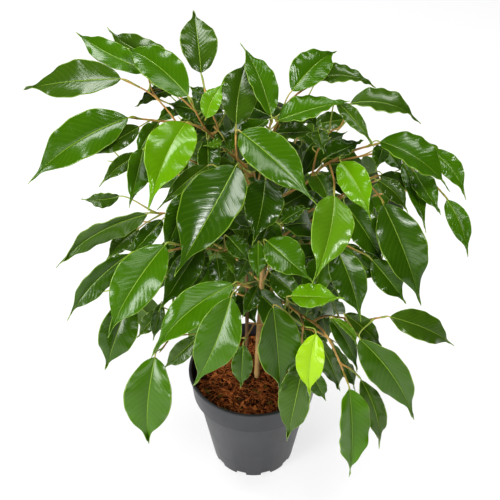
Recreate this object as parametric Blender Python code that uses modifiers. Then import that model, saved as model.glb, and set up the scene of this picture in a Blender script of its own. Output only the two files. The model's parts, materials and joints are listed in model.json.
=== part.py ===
"""Potted weeping fig: a nursery pot, its soil, two stems and a crown of leafy branches.

Metres, +Z up, the origin at the middle of the pot's underside. The front of the plant looks
along -Y. Each leafy branch is one body: its twigs, its petioles and its blades.
"""
import math
import random
from collections import namedtuple

import bmesh
import bpy
from mathutils import Matrix, Vector
from mathutils.bvhtree import BVHTree

# Driving dimensions, in metres
POT_HEIGHT = 0.110
RIM_RADIUS = 0.060
BASE_RADIUS = 0.0385
BODY_TOP_RADIUS = 0.0525
COLLAR_HEIGHT = 0.027
COLLAR_STEP = 0.004
COLLAR_BOTTOM = POT_HEIGHT - COLLAR_HEIGHT
COLLAR_BOTTOM_RADIUS = BODY_TOP_RADIUS + COLLAR_STEP
LIP_HEIGHT = 0.0022
LIP_EDGE = 0.0012
COLLAR_TAPER = 0.0010
EDGE = 0.0010
WALL = 0.0018
FLOOR = 0.003
FOOT_HEIGHT = 0.004
FOOT_WIDTH = 0.0018
DISC_RADIUS = 0.0290
DISC_SLOPE = 0.0015
FLOOR_SLOPE = 0.0025
NOTCHES = 10
NOTCH_WIDTH = 0.010
NOTCH_DEPTH = 0.010
NOTCH_HEIGHT = 0.0048
TURN_STEPS = 28
SOIL_TOP = 0.098
HOLE_GAP = 0.0004
HOLE_SIDES = 10
CROWN_CENTRE = Vector((-0.006, 0.0, 0.259))
CROWN_RADIUS = 0.192
BLADE_THICKNESS = 0.0008
PETIOLE_WIDTH = 0.0018
ROOT_WIDTH = 0.0009
GAP = 0.0003
FLAT = math.radians(0.6)
TRUNK_RADIUS = 0.0027
STEM_RADIUS = 0.0019

# The soil's surface: shares of its radius, and heights above SOIL_TOP
SOIL_SURFACE = ((0.0, 0.0006), (0.5, 0.0004), (0.92, -0.0006), (1.0, -0.0015))

# The two stems, from inside the soil up to the crown
TRUNK_PATH = [Vector(p) for p in (
    (0.0033, 0.000, 0.050), (0.0033, 0.000, 0.100), (0.0045, 0.000, 0.148), (0.0060, 0.001, 0.180),
    (0.0070, 0.000, 0.208), (0.0077, 0.002, 0.241), (0.0062, 0.003, 0.270), (0.0020, 0.003, 0.302),
    (-0.0020, 0.002, 0.336),
)]
SECOND_STEM_PATH = [Vector(p) for p in (
    (-0.0070, 0.006, 0.050), (-0.0070, 0.006, 0.100), (-0.0060, 0.005, 0.148),
    (-0.0058, 0.005, 0.186), (-0.0062, 0.004, 0.222), (-0.0085, 0.005, 0.252),
)]
STEMS = (
    ("trunk", TRUNK_PATH, TRUNK_RADIUS),
    ("second_stem", SECOND_STEM_PATH, STEM_RADIUS),
)

# The view that the plant's front was measured in: a pinhole's focal length and centre in
# picture units, its height above the horizontal, and its distance from the point it faces
FOCAL = 1100.0
CENTRE = (253.5, 250.0)
VIEW_ELEVATION = math.radians(39.9)
VIEW_DISTANCE = 0.929
AIM = Vector((0.0, 0.0, 0.252))
RIGHT = Vector((1.0, 0.0, 0.0))
UP = Vector((0.0, math.sin(VIEW_ELEVATION), math.cos(VIEW_ELEVATION)))
AHEAD = Vector((0.0, math.cos(VIEW_ELEVATION), -math.sin(VIEW_ELEVATION)))
EYE = AIM - AHEAD * VIEW_DISTANCE

# A blade's outline: where it is widest, and where and how far its drip tip draws in
FULLNESS = 0.68
DRIP_START = 0.60
DRIP_REACH = 0.30
DRIP_CUT = 0.72

# How blades are bent: the fold along the midrib, tilts, lengthwise arch, edge waves and the
# spread of each from blade to blade, and the share of the length where a blade is broadest
FOLD = math.radians(17.0)
MAX_ROLL = math.radians(52.0)
MAX_LEAN = 0.60
CAMBER = 0.075
WAVE = 0.0016
TWIST = math.radians(12.0)
CAMBER_SPREAD = (0.5, 1.3)
WAVE_SPREAD = (0.6, 1.3)
WAVY_LENGTH = 0.07
WAVES = 1.7
BROAD = 0.3
ROWS_LARGE = (0.09, 0.31, 0.58, 0.80)
ROWS_SMALL = (0.15, 0.50, 0.78)
SMALL_BLADE = 0.045

# Clear space kept round blades and twigs while they are placed
BLADE_CLEARANCE = 0.0011
TWIG_CLEARANCE = 0.0007
RIM_CLEARANCE = 0.001
FOOT_CLEARANCE = 0.003
POT_SIDES = 24

# How blades and twigs are set: how far back a blade moves at each try, how far ahead of it
# others are looked for, how much wider it is than its half-widths in the view, which leave out
# its rim, how wide it may be for its length, how a twig bends in depth and shifts along its
# parent, how it thins, what makes a place on it good or bad for a petiole, when a petiole
# meets its blade too sharply for a strip, and how closely a twig keeps to the nearest blade
PUSH_STEP = 0.003
PUSH_TRIES = 60
SIGHT = 0.25
WIDENED = 1.06
WIDEST = 0.31
TWIG_BEHIND = 0.005
TWIG_BUMPS = (0, .004, -.004, .008, -.008, .012, -.012, .018, -.018, .025, -.025)
TWIG_SHIFTS = (0, 2, -2, 4, -4, 7, -7)
SIDE_TWIG = 0.75
ROOT_EASE = 0.7
TAPER = 0.65
THIN_TWIG = 0.0010
JOINT_STEP = 0.003
TWIG_END = 0.0012
LEAVE_STEP = 0.0001
LEAVE_TRIES = 120
PETIOLE = 0.013
BEND_COST = 0.022
SHARP_COST = 0.020
SHARP_SIDE = 0.8
SHARP_AHEAD = -0.1
PETIOLE_START = 0.12
NEAR_BLADE = 16.0

# Colours of the plain materials: base colour, roughness
BLADE_COLOURS = {
    "deep": (0.018, 0.060, 0.010),
    "dark": (0.060, 0.105, 0.035),
    "mid": (0.070, 0.180, 0.010),
    "fresh": (0.110, 0.250, 0.010),
    "bright": (0.190, 0.380, 0.012),
    "lime": (0.330, 0.540, 0.015),
    "light": (0.200, 0.360, 0.050),
}
POT_COLOUR = (0.090, 0.092, 0.098)
SOIL_COLOUR = (0.130, 0.035, 0.012)
BARK_COLOUR = (0.420, 0.230, 0.100)

# One blade of the front: base and tip in the view, half-widths to the left and right of its
# midrib as one looks from base to tip, the midrib's bow to the left, its colour, and how far
# out in the crown its base and its tip lie, from 0 at the crown's centre to 1 at its surface,
# below 0 on the far side of the centre
Leaf = namedtuple("Leaf", "name base tip left right bow tone reach")
# One leafy branch: what it grows from, its twigs in the view, its thickness and its blades.
# The first twig starts on the parent, the others on the first one.
Branch = namedtuple("Branch", "name parent radius twigs leaves")

FRONT_BRANCHES = [
    Branch("upper_left", "trunk", 0.0017, [
        [(248, 168), (232, 155), (213, 137), (205, 130), (187, 123), (160, 121), (133, 118)],
    ], [
        Leaf("left_large", (128, 118), (28, 184), 18, 23, -8, "mid", (0.92, 1.05)),
        Leaf("left_bright", (186, 123), (148, 211), 22, 23, -5, "bright", (0.90, 1.00)),
        Leaf("left_behind", (139, 127), (86, 158), 10, 10, 0, "dark", (0.90, 0.98)),
        Leaf("left_behind_bright", (158, 124), (134, 162), 9, 9, -2, "mid", (0.82, 0.88)),
    ]),
    Branch("far_left", "upper_left", 0.0011, [
        [(176, 121), (168, 111), (155, 97), (143, 89), (126, 81)],
        [(160, 101), (152, 90), (148, 76)],
    ], [
        Leaf("far_left_top", (121, 79), (23, 90), 14, 19, -3, "dark", (0.98, 1.05)),
        Leaf("top_left_lime", (148, 72), (76, 32), 11, 13, 3, "fresh", (0.95, 1.00)),
        Leaf("far_grey", (172, 90), (135, 107), 5, 9, -2, "dark", (0.80, 0.90)),
        Leaf("small_side", (173, 110), (156, 121), 6, 6, 0, "mid", (0.84, 0.88)),
    ]),
    Branch("top_left", "upper_left", 0.0012, [
        [(208, 132), (200, 120), (196, 112), (190, 101)],
        [(196, 112), (180, 96), (172, 80), (169, 66)],
    ], [
        Leaf("top_left_broad", (188, 96), (123, 48), 15, 19, -6, "fresh", (0.95, 1.00)),
        Leaf("top_left_back", (168, 58), (107, 27), 10, 14, 7, "dark", (0.95, 1.00)),
        Leaf("top_inner_dark", (204, 112), (167, 103), 12, 12, 0, "deep", (0.80, 0.86)),
        Leaf("top_inner_left", (209, 101), (189, 86), 7, 7, 0, "deep", (0.82, 0.86)),
    ]),
    Branch("top_tall", "upper_left", 0.0012, [
        [(222, 146), (218, 128), (208, 104), (203, 80)],
    ], [
        Leaf("inner_round", (219, 132), (232, 154), 9, 8, 0, "dark", (0.68, 0.72)),
        Leaf("top_tall", (201, 73), (193, 10), 17, 18, -1, "dark", (0.95, 1.00)),
        Leaf("lime_top", (206, 118), (225, 82), 10, 9, 3, "bright", (0.90, 0.95)),
        Leaf("inner_grey", (223, 112), (184, 120), 9, 9, 0, "dark", (0.76, 0.80)),
        Leaf("inner_pale", (222, 141), (203, 146), 4, 4, 1, "light", (0.70, 0.72)),
    ]),
    Branch("top_centre", "trunk", 0.0014, [
        [(246, 178), (240, 166), (236, 148), (236, 131)],
    ], [
        Leaf("top_dark", (236, 124), (248, 58), 18, 18, 3, "dark", (0.86, 0.95)),
        Leaf("centre_top", (241, 132), (317, 205), 22, 19, 3, "mid", (0.92, 0.98)),
    ]),
    Branch("top_upright", "trunk", 0.0012, [
        [(256, 172), (264, 148), (270, 126)],
    ], [
        Leaf("top_upright", (271, 115), (240, 43), 10, 14, -4, "fresh", (0.92, 1.00)),
        Leaf("centre_behind_top", (275, 134), (318, 131), 13, 7, 0, "dark", (0.80, 0.88)),
    ]),
    Branch("top_right", "trunk", 0.0015, [
        [(262, 160), (274, 130), (284, 108), (296, 95), (308, 87)],
        [(284, 108), (280, 117)],
    ], [
        Leaf("top_round", (292, 91), (337, 51), 18, 15, 4, "fresh", (0.95, 1.00)),
        Leaf("top_long", (278, 121), (350, 101), 16, 6, 2, "fresh", (0.90, 1.00)),
        Leaf("far_right_pale", (314, 80), (376, 88), 11, 5, 8, "dark", (0.95, 1.00)),
        Leaf("top_shadow", (297, 108), (319, 131), 9, 8, 3, "deep", (0.82, 0.88)),
    ]),
    Branch("right_branch", "trunk", 0.0018, [
        [(268, 206), (290, 192), (309, 181), (322, 167), (350, 152), (376, 144)],
        [(333, 163), (334, 180), (334, 190)],
    ], [
        Leaf("right_big", (380, 142), (450, 192), 20, 9, 8, "fresh", (0.95, 1.05)),
        Leaf("right_bright", (341, 162), (371, 221), 14, 15, 4, "bright", (0.90, 0.98)),
        Leaf("right_light", (334, 196), (312, 284), 21, 19, 5, "light", (0.92, 1.00)),
        Leaf("right_under_branch", (383, 146), (375, 171), 8, 8, 0, "mid", (0.88, 0.90)),
        Leaf("right_top_dark", (326, 158), (364, 140), 17, 9, 0, "deep", (0.80, 0.88)),
    ]),
    Branch("far_right", "right_branch", 0.0012, [
        [(310, 178), (318, 150), (330, 132), (340, 127), (348, 110)],
    ], [
        Leaf("far_right_arched", (350, 104), (421, 124), 15, 6, 10, "dark", (0.98, 1.05)),
        Leaf("right_drooping", (338, 103), (374, 147), 8, 7, 2, "dark", (0.95, 1.00)),
        Leaf("small_grey", (318, 130), (324, 154), 10, 9, 0, "dark", (0.84, 0.90)),
    ]),
    Branch("right_tail", "right_branch", 0.0011, [
        [(366, 147), (384, 152), (404, 152), (424, 150)],
        [(404, 152), (420, 168), (436, 186), (444, 195)],
    ], [
        Leaf("right_tail", (430, 150), (466, 200), 11, 9, 6, "fresh", (0.98, 1.05)),
        Leaf("right_end", (447, 200), (468, 257), 10, 10, 4, "fresh", (1.00, 1.05)),
        Leaf("right_inner_tail", (414, 172), (441, 215), 12, 9, 0, "mid", (0.92, 1.00)),
        Leaf("right_narrow", (403, 163), (426, 233), 9, 8, 3, "mid", (0.88, 0.95)),
        Leaf("right_behind_big", (387, 150), (404, 173), 8, 8, 0, "mid", (0.88, 0.92)),
    ]),
    Branch("right_middle", "trunk", 0.0014, [
        [(264, 236), (300, 216), (340, 196), (366, 180), (378, 176)],
        [(366, 180), (376, 192), (382, 200)],
    ], [
        Leaf("right_glossy", (383, 204), (421, 306), 23, 19, 3, "deep", (0.95, 1.00)),
        Leaf("right_twig_upper", (380, 176), (418, 194), 8, 6, 3, "dark", (0.90, 0.96)),
        Leaf("right_twig_lower", (378, 181), (408, 213), 10, 8, 4, "dark", (0.88, 0.92)),
        Leaf("right_shadow", (345, 204), (385, 267), 16, 14, 2, "deep", (0.84, 0.88)),
    ]),
    Branch("right_lower", "trunk", 0.0013, [
        [(262, 256), (300, 246), (330, 240), (360, 252)],
    ], [
        Leaf("right_glossy_low", (336, 247), (361, 322), 16, 17, 3, "deep", (0.84, 0.90)),
        Leaf("right_lower_mid", (372, 260), (406, 304), 13, 12, 1, "deep", (0.90, 0.96)),
    ]),
    Branch("centre", "trunk", 0.0014, [
        [(258, 206), (248, 188), (238, 172)],
        [(248, 188), (226, 178), (206, 176)],
    ], [
        Leaf("centre_large", (236, 166), (174, 277), 23, 32, 1, "deep", (0.90, 1.00)),
        Leaf("left_inner_dark", (190, 192), (162, 260), 15, 14, 0, "deep", (0.80, 0.86)),
        Leaf("left_inner_grey", (207, 166), (157, 210), 9, 9, -2, "dark", (0.76, 0.86)),
    ]),
    Branch("centre_right", "trunk", 0.0012, [
        [(262, 222), (266, 200), (268, 188)],
        [(265, 210), (276, 222)],
    ], [
        Leaf("centre_dark", (265, 180), (252, 246), 20, 18, 2, "deep", (0.80, 0.86)),
        Leaf("centre_small", (282, 223), (310, 208), 12, 7, 2, "deep", (0.72, 0.76)),
    ]),
    Branch("centre_low", "trunk", 0.0012, [
        [(263, 284), (269, 268), (268, 250)],
    ], [
        Leaf("centre_glossy", (267, 241), (313, 282), 20, 17, 0, "mid", (0.84, 0.92)),
        Leaf("small_rimmed", (258, 243), (258, 281), 9, 9, 0, "mid", (0.74, 0.78)),
        Leaf("under_glossy", (271, 273), (306, 304), 11, 11, 0, "deep", (0.72, 0.80)),
    ]),
    Branch("inner_left", "second_stem", 0.0011, [
        [(247, 268), (236, 252), (224, 248)],
    ], [
        Leaf("inner_dark_a", (228, 237), (252, 264), 11, 9, 0, "deep", (0.68, 0.70)),
        Leaf("inner_dark_b", (248, 257), (235, 286), 7, 8, 0, "deep", (0.62, 0.66)),
        Leaf("inner_green", (217, 258), (222, 291), 11, 12, 0, "deep", (0.66, 0.70)),
        Leaf("inner_curl", (222, 252), (236, 280), 6, 5, 3, "light", (0.62, 0.66)),
        Leaf("left_deep", (201, 245), (158, 312), 14, 13, 0, "deep", (0.78, 0.84)),
    ]),
    Branch("left_middle", "trunk", 0.0013, [
        [(256, 222), (224, 214), (190, 214), (154, 213)],
    ], [
        Leaf("left_arched", (147, 214), (56, 268), 13, 8, -9, "dark", (0.95, 1.05)),
        Leaf("left_back_flat", (119, 196), (81, 199), 8, 6, 2, "dark", (0.85, 0.92)),
        Leaf("left_tuft_dark", (162, 220), (125, 262), 8, 9, 0, "deep", (0.80, 0.88)),
        Leaf("left_tuft_grey", (137, 230), (105, 262), 8, 9, -2, "dark", (0.80, 0.88)),
    ]),
    Branch("left_upper", "trunk", 0.0012, [
        [(254, 194), (214, 172), (180, 156), (150, 150)],
    ], [
        Leaf("left_small_green", (143, 150), (129, 208), 13, 11, 0, "mid", (0.86, 0.95)),
        Leaf("left_back_small", (140, 155), (99, 187), 8, 8, -4, "dark", (0.80, 0.90)),
    ]),
    Branch("left_low", "trunk", 0.0014, [
        [(260, 262), (226, 252), (196, 246), (172, 244)],
        [(190, 246), (150, 256), (136, 268)],
    ], [
        Leaf("left_low_large", (165, 245), (108, 338), 21, 23, -5, "fresh", (0.92, 1.00)),
        Leaf("left_shadow", (129, 254), (67, 321), 13, 10, -6, "deep", (0.90, 1.00)),
        Leaf("left_low_dark", (128, 300), (105, 370), 18, 17, 0, "deep", (0.84, 0.92)),
    ]),
    Branch("front_left", "trunk", 0.0013, [
        [(260, 292), (250, 286), (242, 284), (236, 285)],
    ], [
        Leaf("front_left", (231, 297), (193, 386), 21, 20, 4, "mid", (0.88, 0.90)),
        Leaf("front_left_wavy", (233, 284), (151, 358), 16, 18, -9, "fresh", (0.86, 0.95)),
        Leaf("stem_leaf", (258, 286), (242, 318), 8, 7, 0, "deep", (0.62, 0.66)),
    ]),
    Branch("left_hanging", "second_stem", 0.0012, [
        [(248, 296), (222, 292), (196, 306), (176, 330), (162, 349)],
    ], [
        Leaf("left_hanging", (155, 357), (149, 444), 22, 23, -4, "mid", (0.92, 0.95)),
        Leaf("low_back_pale", (160, 310), (137, 338), 7, 8, 0, "dark", (0.62, 0.70)),
        Leaf("low_back_dark", (161, 303), (153, 341), 6, 6, 0, "deep", (0.72, 0.76)),
        Leaf("low_back_brown", (198, 337), (163, 369), 9, 9, 0, "dark", (0.60, 0.66)),
        Leaf("behind_stems", (240, 292), (257, 326), 10, 10, 0, "deep", (-0.55, -0.60)),
    ]),
    Branch("right_low", "trunk", 0.0017, [
        [(262, 291), (280, 300), (300, 314), (318, 326), (328, 338), (337, 356), (347, 381)],
        [(300, 314), (303, 326), (302, 340), (304, 356)],
        [(340, 362), (352, 370), (358, 376)],
    ], [
        Leaf("right_hanging", (349, 389), (349, 477), 18, 12, 3, "fresh", (0.92, 0.92)),
        Leaf("yellow_hanging", (316, 334), (310, 396), 13, 14, -3, "lime", (0.90, 0.92)),
        Leaf("front_right_dark", (273, 307), (280, 392), 22, 18, 1, "deep", (0.84, 0.84)),
        Leaf("front_right_low", (304, 362), (287, 441), 14, 17, 0, "dark", (0.84, 0.88)),
        Leaf("low_right_tail", (361, 380), (379, 449), 10, 10, 6, "dark", (0.88, 0.92)),
        Leaf("pot_edge_dark", (311, 372), (326, 401), 8, 8, 0, "deep", (0.72, 0.74)),
    ]),
    Branch("lime_pair", "right_low", 0.0009, [
        [(282, 301), (287, 299)],
    ], [
        Leaf("lime_small", (291, 296), (345, 298), 13, 10, 0, "bright", (0.88, 0.96)),
    ]),
    Branch("far_right_low", "right_low", 0.0013, [
        [(312, 322), (326, 316), (344, 318), (362, 320), (384, 317)],
        [(344, 318), (350, 328), (357, 335)],
    ], [
        Leaf("far_right_low", (390, 317), (454, 346), 15, 12, 4, "dark", (0.98, 1.05)),
        Leaf("right_low_dark", (360, 339), (414, 420), 15, 19, 7, "deep", (0.90, 0.95)),
        Leaf("pale_edge", (333, 318), (358, 350), 4, 3, 5, "light", (0.93, 0.95)),
        Leaf("low_pair_grey", (345, 314), (382, 348), 10, 9, 2, "dark", (0.82, 0.86)),
        Leaf("low_pair_dark", (330, 318), (357, 372), 8, 8, 4, "deep", (0.80, 0.84)),
    ]),
    Branch("right_low_inner", "second_stem", 0.0011, [
        [(248, 322), (280, 326), (312, 330), (328, 338)],
        [(254, 323), (246, 338)],
    ], [
        Leaf("low_narrow", (334, 345), (355, 392), 5, 8, 3, "deep", (0.76, 0.82)),
        Leaf("low_broad", (318, 338), (340, 391), 9, 14, 2, "dark", (0.68, 0.80)),
        Leaf("pot_leaf", (243, 345), (241, 388), 10, 10, 0, "deep", (0.50, 0.50)),
    ]),
]

# Blades in front of the others, then those just behind them; the rest lie deeper
FRONT_BLADES = (
    "centre_large centre_top left_bright left_large left_low_large front_left front_left_wavy "
    "left_hanging yellow_hanging right_hanging lime_small right_light right_bright right_glossy "
    "centre_glossy front_right_dark right_big top_left_broad top_upright top_round top_long "
    "lime_top right_low_dark far_left_top small_rimmed"
).split()
MIDDLE_BLADES = (
    "top_left_lime top_left_back top_tall top_dark far_right_pale far_right_arched "
    "right_drooping centre_dark centre_small left_shadow left_low_dark left_arched left_behind "
    "left_small_green right_tail right_end right_inner_tail right_narrow right_glossy_low "
    "right_lower_mid far_right_low low_right_tail front_right_low pale_edge right_shadow"
).split()

# The hidden side of the crown: for each branch the compass angle it grows to, with +X at 0
# and the back at 90, the height of its end above the crown's middle as an angle, and the
# height at which it leaves the trunk. Below, the limits within which its twigs and its
# blades are drawn: reaches and spreads are shares of the crown's radius or of a length.
BACK_BRANCHES = [
    (10, -16, 0.215), (14, 14, 0.270), (30, -34, 0.180), (36, 2, 0.245), (44, 30, 0.310),
    (60, -20, 0.205), (66, 10, 0.275), (74, 42, 0.328), (88, -36, 0.185), (90, -6, 0.240),
    (94, 22, 0.300), (116, -22, 0.200), (118, 8, 0.260), (124, 38, 0.320), (142, -10, 0.225),
    (148, 18, 0.290), (164, -26, 0.195), (158, 2, 0.250), (84, 62, 0.331), (34, 54, 0.322),
    (140, 58, 0.326),
]
BACK_LEAVES = 4
BACK_TOP = 0.145
BACK_RADIUS = 0.0014
BACK_TWIG_TRIES = 60
BACK_LEAF_TRIES = 240
BACK_TWIG_REACH = (0.72, 0.84)
BACK_TWIG_ARCH = (0.015, 0.045)
BACK_TWIG_SWAY = 0.012
BACK_TWIG_STRAY = 0.1
BACK_TWIG_KNEE = 0.45
BACK_TWIG_BENDS = (0.25, 0.5, 0.75, 1.0)
BACK_ROOT_STEP = 0.01
BACK_ROOT_STEPS = 5
BACK_LEAF_REACH = (0.76, 0.95)
BACK_LEAF_LENGTH = (0.070, 0.096)
BACK_LEAF_TURN = math.radians(70.0)
BACK_LEAF_ROLL = math.radians(28.0)
BACK_LEAF_RUN = 0.94
BACK_LEAF_RISE = (-0.12, 0.27)
BACK_LEAF_UP = 0.5
BACK_LEAF_BOW = 0.05
BACK_NEAR_TOP = 0.4
BACK_NEAR_MIDDLE = 0.1
BACK_SHRINK = 0.30
BACK_SPREAD = (0.30, 0.55)
BACK_OUTERMOST = 1.03
BACK_LOWEST = 0.085
BACK_CORE = 0.07
BACK_CORE_TOP = 0.31
BACK_PETIOLE = 0.034
BACK_ASPECT = 0.21
BACK_TONES = ("deep", "mid", "dark", "mid", "fresh", "deep", "mid")
DOWN = Vector((0.0, 0.0, -1.0))

# Part of the view where the crown has no gaps: blades of the hidden side may show through there
DENSE_CROWN = [
    (195, 100), (235, 80), (290, 112), (335, 130), (382, 165), (390, 210), (372, 270), (332, 300),
    (338, 336), (312, 338), (262, 324), (234, 326), (206, 306), (172, 300), (165, 262), (186, 200),
    (172, 160), (180, 118),
]


def ray(pixel):
    """Direction of a point of the view, one metre deep."""
    across = (pixel[0] - CENTRE[0]) / FOCAL
    above = (CENTRE[1] - pixel[1]) / FOCAL
    return AHEAD + RIGHT * across + UP * above


def at_depth(pixel, depth):
    return EYE + ray(pixel) * depth


def in_view(point):
    """Place of a point in the view, and its depth."""
    away = point - EYE
    depth = away.dot(AHEAD)
    across = CENTRE[0] + FOCAL * away.dot(RIGHT) / depth
    above = CENTRE[1] - FOCAL * away.dot(UP) / depth
    return Vector((across, above)), depth


def shell_depth(pixel, reach):
    """Depth at which a sight line meets the near side of a shell round the crown's centre."""
    direction = ray(pixel)
    offset = EYE - CROWN_CENTRE
    middle = -offset.dot(direction) / direction.length_squared
    closest = (offset + direction * middle).length
    radius = abs(reach) * CROWN_RADIUS
    if radius <= closest:
        return middle
    way = math.copysign(math.sqrt(radius ** 2 - closest ** 2), reach)
    return middle - way / direction.length


def outline(s):
    """Half-width of a blade along its midrib, as a share of its widest: oval, with a drip tip."""
    if s <= 0.0 or s >= 1.0:
        return 0.0
    late = min(max((s - DRIP_START) / DRIP_REACH, 0.0), 1.0)
    drip = 1.0 - DRIP_CUT * late * late * (3.0 - 2.0 * late)
    return math.sin(math.pi * s ** FULLNESS) * drip


class Blade:
    """One leaf blade: a chord from base to tip, the side it shows, and how it is bent."""

    def __init__(self, name, base, tip, facing, half_width, roll, bow, tone):
        draw = random.Random("blade " + name)
        self.name = name
        self.tone = tone
        self.base = base
        self.chord = tip - base
        self.length = self.chord.length
        self.along = self.chord.normalized()
        self.normal = (facing - self.along * facing.dot(self.along)).normalized()
        self.side = self.normal.cross(self.along)
        self.half_width = half_width
        self.roll = roll
        self.twist = draw.uniform(-TWIST, TWIST)
        self.bow = bow
        self.camber = CAMBER * draw.uniform(*CAMBER_SPREAD)
        self.phases = (draw.uniform(0.0, 1.0), draw.uniform(0.0, 1.0))
        self.wave = WAVE * draw.uniform(*WAVE_SPREAD) * min(1.0, self.length / WAVY_LENGTH)

    def point(self, s, v):
        """Point at share s of the midrib and share v of the half-width, left above 0."""
        arch = 4.0 * s * (1.0 - s)
        turn = self.roll + self.twist * (s - 0.5)
        side = self.side * math.cos(turn) + self.normal * math.sin(turn)
        rise = self.normal * math.cos(turn) - self.side * math.sin(turn)
        width = self.half_width * outline(s)
        ripple = self.phases[0] if v >= 0 else self.phases[1]
        lift = width * math.sin(FOLD) * abs(v)
        ripples = math.sin(math.tau * (WAVES * s + ripple))
        lift += self.wave * v * v * ripples * min(1.0, 4.0 * arch)
        middle = self.base + self.chord * s
        middle += (self.side * self.bow + self.normal * self.camber * self.length) * arch
        return middle + side * (width * math.cos(FOLD) * v) + rise * lift

    def sheet(self):
        """Points and triangles of the blade's surface, from its base to its tip."""
        rows = ROWS_LARGE if self.length > SMALL_BLADE else ROWS_SMALL
        start = self.base + self.along * GAP
        left = (self.point(BROAD, 1) - self.point(BROAD, 0)).normalized()
        right = (self.point(BROAD, -1) - self.point(BROAD, 0)).normalized()
        half = 0.5 * PETIOLE_WIDTH
        points = [start + right * half, start, start + left * half]
        for s in rows:
            points += [self.point(s, v) for v in (-1, 0, 1)]
        points.append(self.point(1.0, 0.0))
        faces = []
        for row in range(len(rows)):
            a = 3 * row
            faces += [(a, a + 1, a + 4), (a, a + 4, a + 3)]
            faces += [(a + 1, a + 2, a + 4), (a + 2, a + 5, a + 4)]
        last = 3 * len(rows)
        faces += [(last, last + 1, last + 3), (last + 1, last + 2, last + 3)]
        return points, faces

    def with_petiole(self, joint):
        """The same surface with a narrow strip that runs back from the base to a twig."""
        points, faces = self.sheet()
        back = (joint - self.base).normalized()
        side = (points[2] - points[0])
        side = (side - back * side.dot(back)).normalized() * (0.5 * ROOT_WIDTH)
        left = len(points)
        root = joint + back * GAP
        points += [root - side, root + side]
        faces += [(left, left + 1, 1), (left, 1, 0), (left + 1, 2, 1)]
        return points, faces


def thicken(points, faces, thickness):
    """Closed shell of a thickness round a sheet, as points and triangles."""
    normals = [Vector() for _ in points]
    edges = {}
    for a, b, c in faces:
        normal = (points[b] - points[a]).cross(points[c] - points[a])
        for corner in (a, b, c):
            normals[corner] += normal
        for edge in ((a, b), (b, c), (c, a)):
            edges[edge] = True
    count = len(points)
    offsets = [normal.normalized() * (0.5 * thickness) for normal in normals]
    solid = [p + n for p, n in zip(points, offsets)] + [p - n for p, n in zip(points, offsets)]
    shell = list(faces) + [(c + count, b + count, a + count) for a, b, c in faces]
    for a, b in edges:
        if (b, a) not in edges:
            shell += [(b, a, a + count), (b, a + count, b + count)]
    return solid, shell


def tube_shape(points, radii):
    """Plain four-sided tube, used only to see what a twig would touch."""
    solid = []
    shell = []
    for index, point in enumerate(points):
        before = points[max(index - 1, 0)]
        after = points[min(index + 1, len(points) - 1)]
        along = (after - before).normalized()
        side = along.orthogonal().normalized()
        other = along.cross(side)
        for step in range(4):
            angle = math.tau * step / 4
            solid.append(point + (side * math.cos(angle) + other * math.sin(angle)) * radii[index])
    for ring in range(len(points) - 1):
        for step in range(4):
            a = 4 * ring + step
            b = 4 * ring + (step + 1) % 4
            shell += [(a, b, b + 4), (a, b + 4, a + 4)]
    return solid, shell


class Solid:
    """Something already placed, with what it takes to test against it."""

    def __init__(self, owner, name, points, faces, rank=9):
        self.owner = owner
        self.name = name
        self.rank = rank
        self.low = Vector(min(p[axis] for p in points) for axis in range(3))
        self.high = Vector(max(p[axis] for p in points) for axis in range(3))
        self.tree = BVHTree.FromPolygons(points, faces)

    def near(self, other):
        return all(self.low[a] <= other.high[a] and other.low[a] <= self.high[a] for a in range(3))

    def hits(self, other):
        return self.near(other) and bool(self.tree.overlap(other.tree))


def is_clear(solid, placed, skip=()):
    return not any(solid.hits(other) for other in placed if other.name not in skip)


def front_blade(leaf, push):
    """The blade of a leaf measured in the view, moved back along its sight lines by push."""
    near = shell_depth(leaf.base, leaf.reach[0])
    far = shell_depth(leaf.tip, leaf.reach[1])
    span = math.dist(leaf.base, leaf.tip) * near / FOCAL
    lean = min(max(far - near, -MAX_LEAN * span), MAX_LEAN * span)
    near += push
    far = near + lean
    base = at_depth(leaf.base, near)
    tip = at_depth(leaf.tip, far)
    scale = 0.5 * (near + far) / FOCAL
    skew = (leaf.right - leaf.left) / (leaf.right + leaf.left)
    roll = math.atan(skew / math.tan(FOLD))
    roll = min(max(roll, -MAX_ROLL), MAX_ROLL)
    half = 0.5 * WIDENED * (leaf.left + leaf.right) * scale / (math.cos(FOLD) * math.cos(roll))
    half = min(half, WIDEST * (tip - base).length)
    facing = EYE - 0.5 * (base + tip)
    return Blade(leaf.name, base, tip, facing, half, roll, leaf.bow * scale, leaf.tone)


def hides(blade, rank, placed):
    """Whether a blade would stand in front of one that is nearer in the view."""
    points, _ = blade.sheet()
    for point in points:
        sight = (point - EYE).normalized()
        for other in placed:
            if other.rank < rank and other.tree.ray_cast(point, sight, SIGHT)[0] is not None:
                return True
    return False


def place_front_blades(placed):
    """Blades of the front, each pushed back until it clears those before it."""
    order = {}
    for name in FRONT_BLADES:
        order[name] = 0
    for name in MIDDLE_BLADES:
        order[name] = 1
    rows = [(order.get(leaf.name, 2), branch.name, leaf)
            for branch in FRONT_BRANCHES for leaf in branch.leaves]
    rows.sort(key=lambda row: row[0])
    blades = {}
    for rank, owner, leaf in rows:
        for step in range(PUSH_TRIES):
            blade = front_blade(leaf, step * PUSH_STEP)
            shape = thicken(*blade.sheet(), BLADE_THICKNESS + 2 * BLADE_CLEARANCE)
            solid = Solid(owner, leaf.name, *shape, rank)
            if is_clear(solid, placed) and not hides(blade, rank, placed):
                break
        blades[leaf.name] = blade
        placed.append(Solid(owner, leaf.name, *thicken(*blade.sheet(), BLADE_THICKNESS), rank))
    return blades


def tapered(points, radius):
    """Radii along a path, thinning evenly to TAPER of the first, but never under THIN_TWIG."""
    last = len(points) - 1
    return [max(radius * (1.0 - (1.0 - TAPER) * index / last), THIN_TWIG)
            for index in range(len(points))]


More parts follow.
